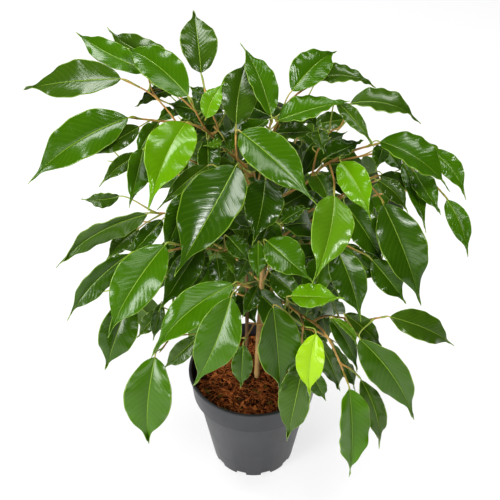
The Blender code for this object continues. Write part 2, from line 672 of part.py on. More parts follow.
def sampled(points, radii, step=JOINT_STEP):
    """Points along a path every step or so, each with its radius and direction."""
    samples = []
    for index in range(len(points) - 1):
        start, end = points[index], points[index + 1]
        along = (end - start).normalized()
        count = max(1, round((end - start).length / step))
        for part in range(count):
            share = part / count
            radius = radii[index] * (1 - share) + radii[index + 1] * share
            samples.append((start.lerp(end, share), radius, along))
    samples.append((points[-1] - along * TWIG_END, radii[-1], along))
    return samples


def clearance(start, along, radius, samples):
    """Gap between a bar's flat end and the surface of the bar that samples describe."""
    gap = math.inf
    for (low, low_radius, _), (high, high_radius, _) in zip(samples, samples[1:]):
        step = high - low
        if step.length > 2 * JOINT_STEP:
            continue
        share = min(max((start - low).dot(step) / step.length_squared, 0.0), 1.0)
        away = start - low.lerp(high, share)
        thick = low_radius * (1 - share) + high_radius * share
        facing = away.normalized().dot(along)
        gap = min(gap, away.length - thick - radius * math.sqrt(max(0.0, 1.0 - facing ** 2)))
    return gap


def leave(parent_samples, wanted, first, radius, shift=0):
    """Start of a twig, just clear of its parent, at the parent's sample nearest to wanted."""
    nearest = min(range(len(parent_samples)), key=wanted)
    nearest = min(max(nearest + shift, 1), len(parent_samples) - 2)
    point = parent_samples[nearest][0]
    along = (first - point).normalized()
    start = point
    for step in range(LEAVE_TRIES):
        start = point + along * (LEAVE_STEP * step)
        if clearance(start, along, radius, parent_samples) >= GAP:
            break
    return start


def twig_depth(pixel, leaves, blades):
    """Depth of a twig in the view: a little behind the bases of the blades that it bears."""
    total = 0.0
    weights = 0.0
    for leaf in leaves:
        place, depth = in_view(blades[leaf.name].base)
        weight = 1.0 / ((place - Vector(pixel)).length_squared + NEAR_BLADE)
        total += weight * depth
        weights += weight
    return total / weights + TWIG_BEHIND


def front_twig(branch, index, blades, grown, bump, shift):
    """Points of one twig of a front branch, bent in depth by bump and set along its parent."""
    pixels = branch.twigs[index]
    parent = branch.parent if index == 0 else branch.name
    samples = grown[parent]
    _, start_depth = in_view(min(
        (s[0] for s in samples), key=lambda p: (in_view(p)[0] - Vector(pixels[0])).length))
    points = []
    last = len(pixels) - 1
    for step, pixel in enumerate(pixels):
        share = step / last
        ease = min(share / ROOT_EASE, 1.0) if index == 0 else 1.0
        ease = ease * ease * (3.0 - 2.0 * ease)
        wanted = twig_depth(pixel, branch.leaves, blades)
        depth = start_depth * (1 - ease) + wanted * ease + bump * math.sin(math.pi * share)
        points.append(at_depth(pixel, depth))
    if index > 0:
        nearest = min(range(len(samples)),
                      key=lambda i: (in_view(samples[i][0])[0] - Vector(pixels[0])).length)
        points[0] = samples[nearest][0]
    else:
        points[0] = leave(
            samples, lambda i: (in_view(samples[i][0])[0] - Vector(pixels[0])).length,
            points[1], branch.radius, shift)
    return points


def place_front_twigs(branch, blades, grown, placed):
    """Twigs of one front branch, each on the first route that clears what is placed."""
    twigs = []
    for index in range(len(branch.twigs)):
        radius = branch.radius if index == 0 else SIDE_TWIG * branch.radius
        shifts = TWIG_SHIFTS if index == 0 else (0,)
        for bump, shift in ((bump, shift) for bump in TWIG_BUMPS for shift in shifts):
            points = front_twig(branch, index, blades, grown, bump, shift)
            radii = tapered(points, radius)
            fat = [r + TWIG_CLEARANCE for r in radii]
            start = 0 if index == 0 else 1
            test = points[start:]
            if len(test) < 2:
                test = [points[0].lerp(points[1], 0.4), points[1]]
            solid = Solid(branch.name, branch.name, *tube_shape(test, fat[:len(test)]))
            if is_clear(solid, placed, (branch.parent, branch.name)):
                break
        else:
            points = front_twig(branch, index, blades, grown, 0, 0)
        twigs.append((points, radii))
        placed.append(Solid(branch.name, branch.name, *tube_shape(points, radii)))
        grown.setdefault(branch.name, []).extend(sampled(points, radii))
    return twigs


def strip_shape(joint, blade, thickness):
    """The petiole's strip from a joint to a blade's base, as a closed shell."""
    points, faces = blade.with_petiole(joint)
    count = len(points)
    keep = [0, 1, 2, count - 2, count - 1]
    names = {old: new for new, old in enumerate(keep)}
    strip = [tuple(names[c] for c in face) for face in faces[-3:]]
    places = [points[i].lerp(joint, PETIOLE_START) if i < 3 else points[i] for i in keep]
    return thicken(places, strip, thickness)


def choose_joint(owner, blade, samples, placed):
    """Where on its branch a blade's petiole starts: near, in line, and with a clear way."""
    def cost(sample):
        away = blade.base - sample[0]
        bend = 1.0 - away.normalized().dot(blade.along)
        sharp = SHARP_COST if bends_sharply(blade, sample[0]) else 0.0
        return abs(away.length - PETIOLE) + BEND_COST * bend + sharp
    ranked = sorted(samples[3:] if len(samples) > 8 else samples, key=cost)
    for sample in ranked:
        shape = strip_shape(sample[0], blade, BLADE_THICKNESS + TWIG_CLEARANCE)
        solid = Solid(owner, "petiole " + blade.name, *shape)
        if is_clear(solid, placed, (blade.name, owner)):
            return sample[0], True
    return ranked[0][0], False


def place_petioles(owner, blades, samples, placed):
    """Where each blade of a branch is joined to it."""
    joints = []
    for blade in blades:
        joint, _ = choose_joint(owner, blade, samples, placed)
        joints.append(joint)
        placed.append(Solid(owner, owner, *strip_shape(joint, blade, BLADE_THICKNESS)))
    return joints


def inside_dense_crown(place):
    """Whether a point of the view lies inside the outline DENSE_CROWN."""
    inside = False
    before = DENSE_CROWN[-1]
    for corner in DENSE_CROWN:
        if (corner[1] > place[1]) != (before[1] > place[1]):
            share = (place[1] - corner[1]) / (before[1] - corner[1])
            if place[0] < corner[0] + share * (before[0] - corner[0]):
                inside = not inside
        before = corner
    return inside


def hidden_from_front(points, fronts):
    """Whether every point is behind a front blade or inside the dense crown."""
    for point in points:
        if inside_dense_crown(in_view(point)[0]):
            continue
        sight = (EYE - point).normalized()
        if not any(solid.tree.ray_cast(point, sight)[0] is not None for solid in fronts):
            return False
    return True


def on_crown(azimuth, elevation):
    """Outward direction from the crown's centre, angles in radians."""
    flat = math.cos(elevation)
    return Vector((flat * math.cos(azimuth), flat * math.sin(azimuth), math.sin(elevation)))


def crown_radius(direction):
    """Reach of the crown's hidden side in a direction: it stays under the front's top edge."""
    return min(CROWN_RADIUS, BACK_TOP / max(direction.dot(UP), BACK_NEAR_MIDDLE))


def draw_back_twig(row, attempt, draw, trunk):
    """Points of one drawn twig of the hidden side, from the trunk out into the crown."""
    azimuth, elevation = math.radians(row[0]), math.radians(row[1])
    way = on_crown(azimuth + draw.uniform(-BACK_TWIG_STRAY, BACK_TWIG_STRAY),
                   elevation + draw.uniform(-BACK_TWIG_STRAY, BACK_TWIG_STRAY))
    end = CROWN_CENTRE + way * crown_radius(way) * draw.uniform(*BACK_TWIG_REACH)
    arch = Vector((draw.uniform(-BACK_TWIG_SWAY, BACK_TWIG_SWAY),
                   draw.uniform(-BACK_TWIG_SWAY, BACK_TWIG_SWAY),
                   draw.uniform(*BACK_TWIG_ARCH)))
    height = row[2] + BACK_ROOT_STEP * (attempt % BACK_ROOT_STEPS - BACK_ROOT_STEPS // 2)
    root = min(trunk, key=lambda s: abs(s[0].z - height))[0]
    middle = root.lerp(end, BACK_TWIG_KNEE) + arch
    bend = [root.lerp(middle, t).lerp(middle.lerp(end, t), t) for t in BACK_TWIG_BENDS]
    start = leave(trunk, lambda i: (trunk[i][0] - root).length, bend[0], BACK_RADIUS)
    return [start] + bend


def draw_back_blade(name, row, effort, draw):
    """One drawn blade of a hidden-side branch, or None where it would lie outside the crown.

    With more effort, from 0 to 1, it is shorter and strays further from the branch's end.
    """
    azimuth, elevation = math.radians(row[0]), math.radians(row[1])
    length = draw.uniform(*BACK_LEAF_LENGTH) * (1.0 - BACK_SHRINK * effort)
    spread = BACK_SPREAD[0] + (BACK_SPREAD[1] - BACK_SPREAD[0]) * effort
    turn_out = draw.uniform(-spread, spread) / max(math.cos(elevation), BACK_NEAR_TOP)
    here = on_crown(azimuth + turn_out, elevation + draw.uniform(-spread, spread))
    base = CROWN_CENTRE + here * crown_radius(here) * draw.uniform(*BACK_LEAF_REACH)
    down = (DOWN - here * here.dot(DOWN)).normalized()
    heading = Matrix.Rotation(draw.uniform(-BACK_LEAF_TURN, BACK_LEAF_TURN), 3, here) @ down
    tip = base + length * (BACK_LEAF_RUN * heading + draw.uniform(*BACK_LEAF_RISE) * here)
    if (tip - CROWN_CENTRE).length > BACK_OUTERMOST * CROWN_RADIUS or tip.z < BACK_LOWEST:
        return None
    if math.hypot(base.x, base.y) < BACK_CORE and base.z < BACK_CORE_TOP:
        return None
    facing = (here - DOWN * draw.uniform(0.0, BACK_LEAF_UP)).normalized()
    roll = draw.uniform(-BACK_LEAF_ROLL, BACK_LEAF_ROLL)
    bow = draw.uniform(-BACK_LEAF_BOW, BACK_LEAF_BOW) * length
    tone = draw.choice(BACK_TONES)
    return Blade(name, base, tip, facing, BACK_ASPECT * length, roll, bow, tone)


def place_back_branch(index, row, grown, placed, fronts):
    """One branch of the hidden side with its blades, by draws that are tested until clear."""
    name = f"back_{index + 1:02d}"
    draw = random.Random(name)
    for attempt in range(BACK_TWIG_TRIES):
        points = draw_back_twig(row, attempt, draw, grown["trunk"])
        radii = tapered(points, BACK_RADIUS)
        solid = Solid(name, name, *tube_shape(points, [r + TWIG_CLEARANCE for r in radii]))
        if is_clear(solid, placed, ("trunk",)) and hidden_from_front(points[2:], fronts):
            break
    else:
        return None
    placed.append(Solid(name, name, *tube_shape(points, radii)))
    samples = sampled(points, radii)
    blades = []
    joints = []
    for number in range(BACK_LEAVES):
        for attempt in range(BACK_LEAF_TRIES):
            blade = draw_back_blade(f"{name}_{number}", row, attempt / BACK_LEAF_TRIES, draw)
            if blade is None:
                continue
            shape = thicken(*blade.sheet(), BLADE_THICKNESS + 2 * BLADE_CLEARANCE)
            if not is_clear(Solid(name, blade.name, *shape), placed):
                continue
            if not hidden_from_front(blade.sheet()[0], fronts):
                continue
            joint, clear = choose_joint(name, blade, samples, placed)
            if clear and (joint - blade.base).length <= BACK_PETIOLE:
                blades.append(blade)
                joints.append(joint)
                placed.append(Solid(name, blade.name, *thicken(*blade.sheet(), BLADE_THICKNESS)))
                placed.append(Solid(name, name, *strip_shape(joint, blade, BLADE_THICKNESS)))
                break
    return name, [(points, radii)], blades, joints


def material(name, colour, roughness):
    made = bpy.data.materials.new(name)
    made.use_nodes = True
    shader = made.node_tree.nodes["Principled BSDF"]
    shader.inputs["Base Color"].default_value = (*colour, 1.0)
    shader.inputs["Roughness"].default_value = roughness
    return made


def new_object(name, data, collection):
    made = bpy.data.objects.new(name, data)
    collection.objects.link(made)
    return made


def mesh_object(name, points, faces, collection):
    mesh = bpy.data.meshes.new(name)
    mesh.from_pydata([tuple(p) for p in points], [], faces)
    mesh.update()
    return new_object(name, mesh, collection)


def drop_scraps(work):
    """Keeps only the largest connected piece of a mesh."""
    left = set(work.verts)
    pieces = []
    while left:
        piece = set()
        front = [left.pop()]
        while front:
            vert = front.pop()
            piece.add(vert)
            for edge in vert.link_edges:
                other = edge.other_vert(vert)
                if other in left:
                    left.remove(other)
                    front.append(other)
        pieces.append(piece)
    pieces.sort(key=len)
    for piece in pieces[:-1]:
        bmesh.ops.delete(work, geom=list(piece), context="VERTS")


def evaluated_mesh(thing, flat=0.0):
    """The mesh of an object with its modifiers, welded, and its flat areas made whole."""
    bpy.context.view_layer.update()
    depsgraph = bpy.context.evaluated_depsgraph_get()
    mesh = bpy.data.meshes.new_from_object(thing.evaluated_get(depsgraph))
    work = bmesh.new()
    work.from_mesh(mesh)
    bmesh.ops.remove_doubles(work, verts=work.verts, dist=0.000002)
    if flat:
        bmesh.ops.dissolve_limit(work, angle_limit=flat, verts=work.verts, edges=work.edges)
        drop_scraps(work)
    bmesh.ops.triangulate(work, faces=work.faces)
    work.to_mesh(mesh)
    work.free()
    return mesh


def tube(name, points, radii, sides, collection):
    """Closed round bar along a path, made as a curve and turned into a mesh."""
    curve = bpy.data.curves.new(name, "CURVE")
    curve.dimensions = "3D"
    curve.bevel_depth = 1.0
    curve.bevel_resolution = (sides - 4) // 2
    curve.use_fill_caps = True
    spline = curve.splines.new("POLY")
    spline.points.add(len(points) - 1)
    for point, place, radius in zip(spline.points, points, radii):
        point.co = (*place, 1.0)
        point.radius = radius
    bar = new_object(name + "_curve", curve, collection)
    mesh = evaluated_mesh(bar)
    bpy.data.objects.remove(bar)
    bpy.data.curves.remove(curve)
    return new_object(name, mesh, collection)


def bends_sharply(blade, joint):
    """Whether a petiole meets its blade from the side or from ahead."""
    away = (blade.base - joint).normalized()
    across = (blade.point(BROAD, 1.0) - blade.point(BROAD, -1.0)).normalized()
    return abs(away.dot(across)) > SHARP_SIDE or away.dot(blade.along) < SHARP_AHEAD


def blade_solid(blade, joint, collection):
    """A blade with Solidify; its petiole is a strip of it, or a round bar at a sharp bend."""
    if bends_sharply(blade, joint):
        points, faces = blade.sheet()
        inside = blade.point(3.0 * PETIOLE_WIDTH / blade.length, 0.0)
        radius = 0.5 * PETIOLE_WIDTH
        tube("petiole_" + blade.name, [joint, inside], [THIN_TWIG, radius], 4, collection)
    else:
        points, faces = blade.with_petiole(joint)
    leaf = mesh_object("blade_" + blade.name, points, faces, collection)
    skin = leaf.modifiers.new("thickness", "SOLIDIFY")
    skin.thickness = BLADE_THICKNESS
    skin.offset = 0.0
    return leaf


def join(name, first, others, collection):
    """One body from a first solid and a collection of others that cut into it."""
    union = first.modifiers.new("join", "BOOLEAN")
    union.operation = "UNION"
    union.operand_type = "COLLECTION"
    union.collection = others
    union.solver = "MANIFOLD"
    mesh = evaluated_mesh(first, FLAT)
    for thing in list(others.objects):
        bpy.data.objects.remove(thing)
    bpy.data.objects.remove(first)
    return new_object(name, mesh, collection)


def leafy_branch(name, twigs, blades, joints, parts, loose):
    """One leafy branch as one body: its twigs, with each blade's petiole sunk into them."""
    points, radii = twigs[0]
    first = tube("branch_" + name + "_stem", points, radii, 6, parts)
    for number, (points, radii) in enumerate(twigs[1:]):
        tube(f"{name}_twig_{number}", points, radii, 4, loose)
    for blade, joint in zip(blades, joints):
        blade_solid(blade, joint, loose)
    made = join("branch_" + name, first, loose, parts)
    colour = BLADE_COLOURS[blades[0].tone]
    made.data.materials.clear()
    made.data.materials.append(material("leaf_" + name, colour, 0.35))


def turned(name, profile, collection):
    """Solid of revolution from a profile that runs down its outer side, ends on the axis."""
    mesh = bpy.data.meshes.new(name)
    edges = [(i, i + 1) for i in range(len(profile) - 1)]
    mesh.from_pydata([(r, 0.0, z) for r, z in profile], edges, [])
    made = new_object(name, mesh, collection)
    screw = made.modifiers.new("turn", "SCREW")
    screw.axis = "Z"
    screw.steps = TURN_STEPS
    screw.render_steps = TURN_STEPS
    screw.use_merge_vertices = True
    screw.merge_threshold = 0.00001
    return made


def cut(thing, cutters):
    for number, cutter in enumerate(cutters):
        cutter.hide_render = True
        cutter.display_type = "WIRE"
        hole = thing.modifiers.new(f"cut_{number}", "BOOLEAN")
        hole.operation = "DIFFERENCE"
        hole.object = cutter


def inner_radius(z):
    """Radius of the pot's inside at a height."""
    if z >= COLLAR_BOTTOM + WALL:
        share = (z - COLLAR_BOTTOM - WALL) / (COLLAR_HEIGHT - WALL)
        return COLLAR_BOTTOM_RADIUS + (RIM_RADIUS - COLLAR_TAPER - COLLAR_BOTTOM_RADIUS) * share - WALL
    return BASE_RADIUS + (BODY_TOP_RADIUS - BASE_RADIUS) * z / COLLAR_BOTTOM - WALL


def into(collection, thing, name):
    """Names a new primitive and moves it to a collection."""
    thing.name = name
    for holder in thing.users_collection:
        holder.objects.unlink(thing)
    collection.objects.link(thing)
    return thing


def build_pot(parts, cutters):
    """The shell: lip, collar, tapering body, foot and floor, with notches in the foot."""
    neck = POT_HEIGHT - LIP_HEIGHT
    ledge = FOOT_HEIGHT + FLOOR
    inside = [(0.0, FLOOR), (DISC_RADIUS - FLOOR_SLOPE, FLOOR), (DISC_RADIUS, ledge)]
    for z in (ledge, COLLAR_BOTTOM - 2 * WALL, COLLAR_BOTTOM + WALL, POT_HEIGHT):
        inside.append((inner_radius(z), z))
    outside = [
        (RIM_RADIUS, POT_HEIGHT), (RIM_RADIUS, neck), (RIM_RADIUS - LIP_EDGE, neck - 0.5 * EDGE),
        (COLLAR_BOTTOM_RADIUS, COLLAR_BOTTOM + EDGE), (BODY_TOP_RADIUS, COLLAR_BOTTOM),
        (BASE_RADIUS, EDGE), (BASE_RADIUS - EDGE, 0.0),
    ]
    foot_in = BASE_RADIUS - EDGE - FOOT_WIDTH
    under = [
        (foot_in, 0.0), (foot_in - EDGE, FOOT_HEIGHT), (DISC_RADIUS + DISC_SLOPE, FOOT_HEIGHT),
        (DISC_RADIUS, 0.0), (0.0, 0.0),
    ]
    pot = turned("pot", inside + outside + under, parts)
    boxes = []
    for number in range(NOTCHES):
        angle = math.radians(-90.0 + 360.0 * (number + 0.5) / NOTCHES)
        bpy.ops.mesh.primitive_cube_add(size=1.0)
        box = into(cutters, bpy.context.object, f"notch_{number}")
        box.scale = (NOTCH_DEPTH, NOTCH_WIDTH, 2 * NOTCH_HEIGHT)
        box.location = (BASE_RADIUS * math.cos(angle), BASE_RADIUS * math.sin(angle), 0.0)
        box.rotation_euler = (0.0, 0.0, angle)
        boxes.append(box)
    cut(pot, boxes)
    pot.data.materials.append(material("pot_plastic", POT_COLOUR, 0.4))


def build_soil(parts, cutters):
    """Soil up to the pot's wall, with a plain hole for each stem."""
    edge = inner_radius(SOIL_TOP) - GAP
    low = FOOT_HEIGHT + FLOOR + GAP
    profile = [(share * edge, SOIL_TOP + above) for share, above in SOIL_SURFACE]
    profile += [(inner_radius(z) - GAP, z)
                for z in (COLLAR_BOTTOM + WALL, COLLAR_BOTTOM - 2 * WALL, low)]
    profile += [(DISC_RADIUS - GAP, low), (DISC_RADIUS - FLOOR_SLOPE - 2 * GAP, FLOOR + GAP),
                (0.0, FLOOR + GAP)]
    soil = turned("soil", profile, parts)
    holes = []
    for name, path, radius in STEMS:
        bottom = path[0].z - GAP
        height = 2 * (SOIL_TOP - bottom)
        bpy.ops.mesh.primitive_cylinder_add(
            vertices=HOLE_SIDES, radius=radius + HOLE_GAP, depth=height,
            location=(path[0].x, path[0].y, bottom + height / 2))
        holes.append(into(cutters, bpy.context.object, "hole_" + name))
    cut(soil, holes)
    soil.data.materials.append(material("soil", SOIL_COLOUR, 0.95))


def pot_guard():
    """The pot's outside, a little larger, that blades and twigs keep clear of."""
    rings = ((RIM_RADIUS + RIM_CLEARANCE, POT_HEIGHT + RIM_CLEARANCE),
             (BASE_RADIUS + FOOT_CLEARANCE, 0.0))
    turns = [math.tau * step / POT_SIDES for step in range(POT_SIDES)]
    points = [Vector((r * math.cos(a), r * math.sin(a), z)) for r, z in rings for a in turns]
    walls = [(i, (i + 1) % POT_SIDES, POT_SIDES + (i + 1) % POT_SIDES, POT_SIDES + i)
             for i in range(POT_SIDES)]
    return Solid("pot", "pot", points, walls)


def build_plant(parts, loose):
    """Both stems and every leafy branch."""
    placed = [pot_guard()]
    blades = place_front_blades(placed)
    fronts = placed[1:]
    grown = {}
    for name, path, radius in STEMS:
        radii = tapered(path, radius)
        grown[name] = sampled(path, radii)
        placed.append(Solid(name, name, *tube_shape(path, radii)))
        stem = tube(name, path, radii, 8, parts)
        stem.data.materials.append(material(name + "_bark", BARK_COLOUR, 0.7))
    twigs = {}
    for branch in FRONT_BRANCHES:
        twigs[branch.name] = place_front_twigs(branch, blades, grown, placed)
    for branch in FRONT_BRANCHES:
        mine = [blades[leaf.name] for leaf in branch.leaves]
        joints = place_petioles(branch.name, mine, grown[branch.name], placed)
        leafy_branch(branch.name, twigs[branch.name], mine, joints, parts, loose)
    for index, row in enumerate(BACK_BRANCHES):
        made = place_back_branch(index, row, grown, placed, fronts)
        if made and made[2]:
            leafy_branch(*made, parts, loose)


def main():
    for thing in list(bpy.data.objects):
        bpy.data.objects.remove(thing)
    parts = bpy.data.collections.new("potted_weeping_fig")
    cutters = bpy.data.collections.new("cutters")
    loose = bpy.data.collections.new("loose")
    for collection in (parts, cutters, loose):
        bpy.context.scene.collection.children.link(collection)
    build_pot(parts, cutters)
    build_soil(parts, cutters)
    build_plant(parts, loose)


main()
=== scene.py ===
"""Potted weeping fig with its finished look: leaves, twigs, stems, soil and pot.

The pieces are placed by the same rules as the solids that they stand for. Metres, +Z up, the
origin at the middle of the pot's underside, and the plant's front towards -Y.
"""
import json
import math
import random
from collections import namedtuple

import bmesh
import bpy
from mathutils import Matrix, Vector, noise
from mathutils.bvhtree import BVHTree

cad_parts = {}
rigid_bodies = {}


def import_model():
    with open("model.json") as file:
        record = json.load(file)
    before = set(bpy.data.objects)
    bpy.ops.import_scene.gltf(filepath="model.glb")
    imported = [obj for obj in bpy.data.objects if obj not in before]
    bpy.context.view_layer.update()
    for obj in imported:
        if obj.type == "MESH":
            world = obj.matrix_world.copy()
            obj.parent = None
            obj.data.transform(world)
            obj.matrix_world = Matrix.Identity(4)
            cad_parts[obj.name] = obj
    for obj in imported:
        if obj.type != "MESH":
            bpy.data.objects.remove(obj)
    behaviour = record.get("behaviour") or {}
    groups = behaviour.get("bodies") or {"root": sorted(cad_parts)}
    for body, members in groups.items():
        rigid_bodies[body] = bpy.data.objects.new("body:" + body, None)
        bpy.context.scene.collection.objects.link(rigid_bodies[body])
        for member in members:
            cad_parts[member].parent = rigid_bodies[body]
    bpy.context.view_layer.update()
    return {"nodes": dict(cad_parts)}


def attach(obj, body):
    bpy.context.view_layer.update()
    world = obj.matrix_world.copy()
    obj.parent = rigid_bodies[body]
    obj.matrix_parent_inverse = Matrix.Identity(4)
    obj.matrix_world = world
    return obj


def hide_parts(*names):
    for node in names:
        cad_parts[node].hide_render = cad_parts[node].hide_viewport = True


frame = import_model()

# Driving dimensions, in metres
POT_HEIGHT = 0.110
RIM_RADIUS = 0.060
BASE_RADIUS = 0.0385
BODY_TOP_RADIUS = 0.0525
COLLAR_HEIGHT = 0.027
COLLAR_STEP = 0.004
COLLAR_BOTTOM = POT_HEIGHT - COLLAR_HEIGHT
COLLAR_BOTTOM_RADIUS = BODY_TOP_RADIUS + COLLAR_STEP
LIP_HEIGHT = 0.0022
LIP_EDGE = 0.0012
COLLAR_TAPER = 0.0010
EDGE = 0.0010
WALL = 0.0018
FLOOR = 0.003
FOOT_HEIGHT = 0.004
FOOT_WIDTH = 0.0018
DISC_RADIUS = 0.0290
DISC_SLOPE = 0.0015
FLOOR_SLOPE = 0.0025
NOTCHES = 10
NOTCH_WIDTH = 0.010
NOTCH_DEPTH = 0.010
NOTCH_HEIGHT = 0.0048
SOIL_TOP = 0.098
CROWN_CENTRE = Vector((-0.006, 0.0, 0.259))
CROWN_RADIUS = 0.192
BLADE_THICKNESS = 0.0008
PETIOLE_WIDTH = 0.0018
ROOT_WIDTH = 0.0009
GAP = 0.0003
TRUNK_RADIUS = 0.0027
STEM_RADIUS = 0.0019

# The two stems, from inside the soil up to the crown
TRUNK_PATH = [Vector(p) for p in (
    (0.0033, 0.000, 0.050), (0.0033, 0.000, 0.100), (0.0045, 0.000, 0.148), (0.0060, 0.001, 0.180),
    (0.0070, 0.000, 0.208), (0.0077, 0.002, 0.241), (0.0062, 0.003, 0.270), (0.0020, 0.003, 0.302),
    (-0.0020, 0.002, 0.336),
)]
SECOND_STEM_PATH = [Vector(p) for p in (
    (-0.0070, 0.006, 0.050), (-0.0070, 0.006, 0.100), (-0.0060, 0.005, 0.148),
    (-0.0058, 0.005, 0.186), (-0.0062, 0.004, 0.222), (-0.0085, 0.005, 0.252),
)]
STEMS = (
    ("trunk", TRUNK_PATH, TRUNK_RADIUS),
    ("second_stem", SECOND_STEM_PATH, STEM_RADIUS),
)

# The view that the plant's front was measured in: a pinhole's focal length and centre in
# picture units, its height above the horizontal, and its distance from the point it faces
FOCAL = 1100.0
CENTRE = (253.5, 250.0)
VIEW_ELEVATION = math.radians(39.9)
VIEW_DISTANCE = 0.929
AIM = Vector((0.0, 0.0, 0.252))
RIGHT = Vector((1.0, 0.0, 0.0))
UP = Vector((0.0, math.sin(VIEW_ELEVATION), math.cos(VIEW_ELEVATION)))
AHEAD = Vector((0.0, math.cos(VIEW_ELEVATION), -math.sin(VIEW_ELEVATION)))
EYE = AIM - AHEAD * VIEW_DISTANCE

# A blade's outline: where it is widest, and where and how far its drip tip draws in
FULLNESS = 0.68
DRIP_START = 0.60
DRIP_REACH = 0.30
DRIP_CUT = 0.72

# How blades are bent: the fold along the midrib, tilts, lengthwise arch, edge waves and the
# spread of each from blade to blade, and the share of the length where a blade is broadest
FOLD = math.radians(17.0)
MAX_ROLL = math.radians(52.0)
MAX_LEAN = 0.60
CAMBER = 0.075
WAVE = 0.0016
TWIST = math.radians(12.0)
CAMBER_SPREAD = (0.5, 1.3)
WAVE_SPREAD = (0.6, 1.3)
WAVY_LENGTH = 0.07
WAVES = 1.7
BROAD = 0.3
ROWS_LARGE = (0.09, 0.31, 0.58, 0.80)
ROWS_SMALL = (0.15, 0.50, 0.78)
SMALL_BLADE = 0.045

# Clear space kept round blades and twigs while they are placed
BLADE_CLEARANCE = 0.0011
TWIG_CLEARANCE = 0.0007
RIM_CLEARANCE = 0.001
FOOT_CLEARANCE = 0.003
POT_SIDES = 24

# How blades and twigs are set: how far back a blade moves at each try, how far ahead of it
# others are looked for, how much wider it is than its half-widths in the view, which leave out
# its rim, how wide it may be for its length, how a twig bends in depth and shifts along its
# parent, how it thins, what makes a place on it good or bad for a petiole, when a petiole
# meets its blade too sharply for a strip, how closely a twig keeps to the nearest blade, where
# the test of a two-point twig starts, and which first samples of a twig bear no petiole
PUSH_STEP = 0.003
PUSH_TRIES = 60
SIGHT = 0.25
WIDENED = 1.06
WIDEST = 0.31
TWIG_BEHIND = 0.005
TWIG_BUMPS = (0, .004, -.004, .008, -.008, .012, -.012, .018, -.018, .025, -.025)
TWIG_SHIFTS = (0, 2, -2, 4, -4, 7, -7)
SIDE_TWIG = 0.75
ROOT_EASE = 0.7
TAPER = 0.65
THIN_TWIG = 0.0010
JOINT_STEP = 0.003
TWIG_END = 0.0012
LEAVE_STEP = 0.0001
LEAVE_TRIES = 120
PETIOLE = 0.013
BEND_COST = 0.022
SHARP_COST = 0.020
SHARP_SIDE = 0.8
SHARP_AHEAD = -0.1
PETIOLE_START = 0.12
NEAR_BLADE = 16.0
SHORT_TWIG_START = 0.4
JOINT_FIRST = 3
FEW_SAMPLES = 8

# One blade of the front: base and tip in the view, half-widths to the left and right of its
# midrib as one looks from base to tip, the midrib's bow to the left, its colour, and how far
# out in the crown its base and its tip lie, from 0 at the crown's centre to 1 at its surface,
# below 0 on the far side of the centre
Leaf = namedtuple("Leaf", "name base tip left right bow tone reach")
# One leafy branch: what it grows from, its twigs in the view, its thickness and its blades.
# The first twig starts on the parent, the others on the first one.
Branch = namedtuple("Branch", "name parent radius twigs leaves")

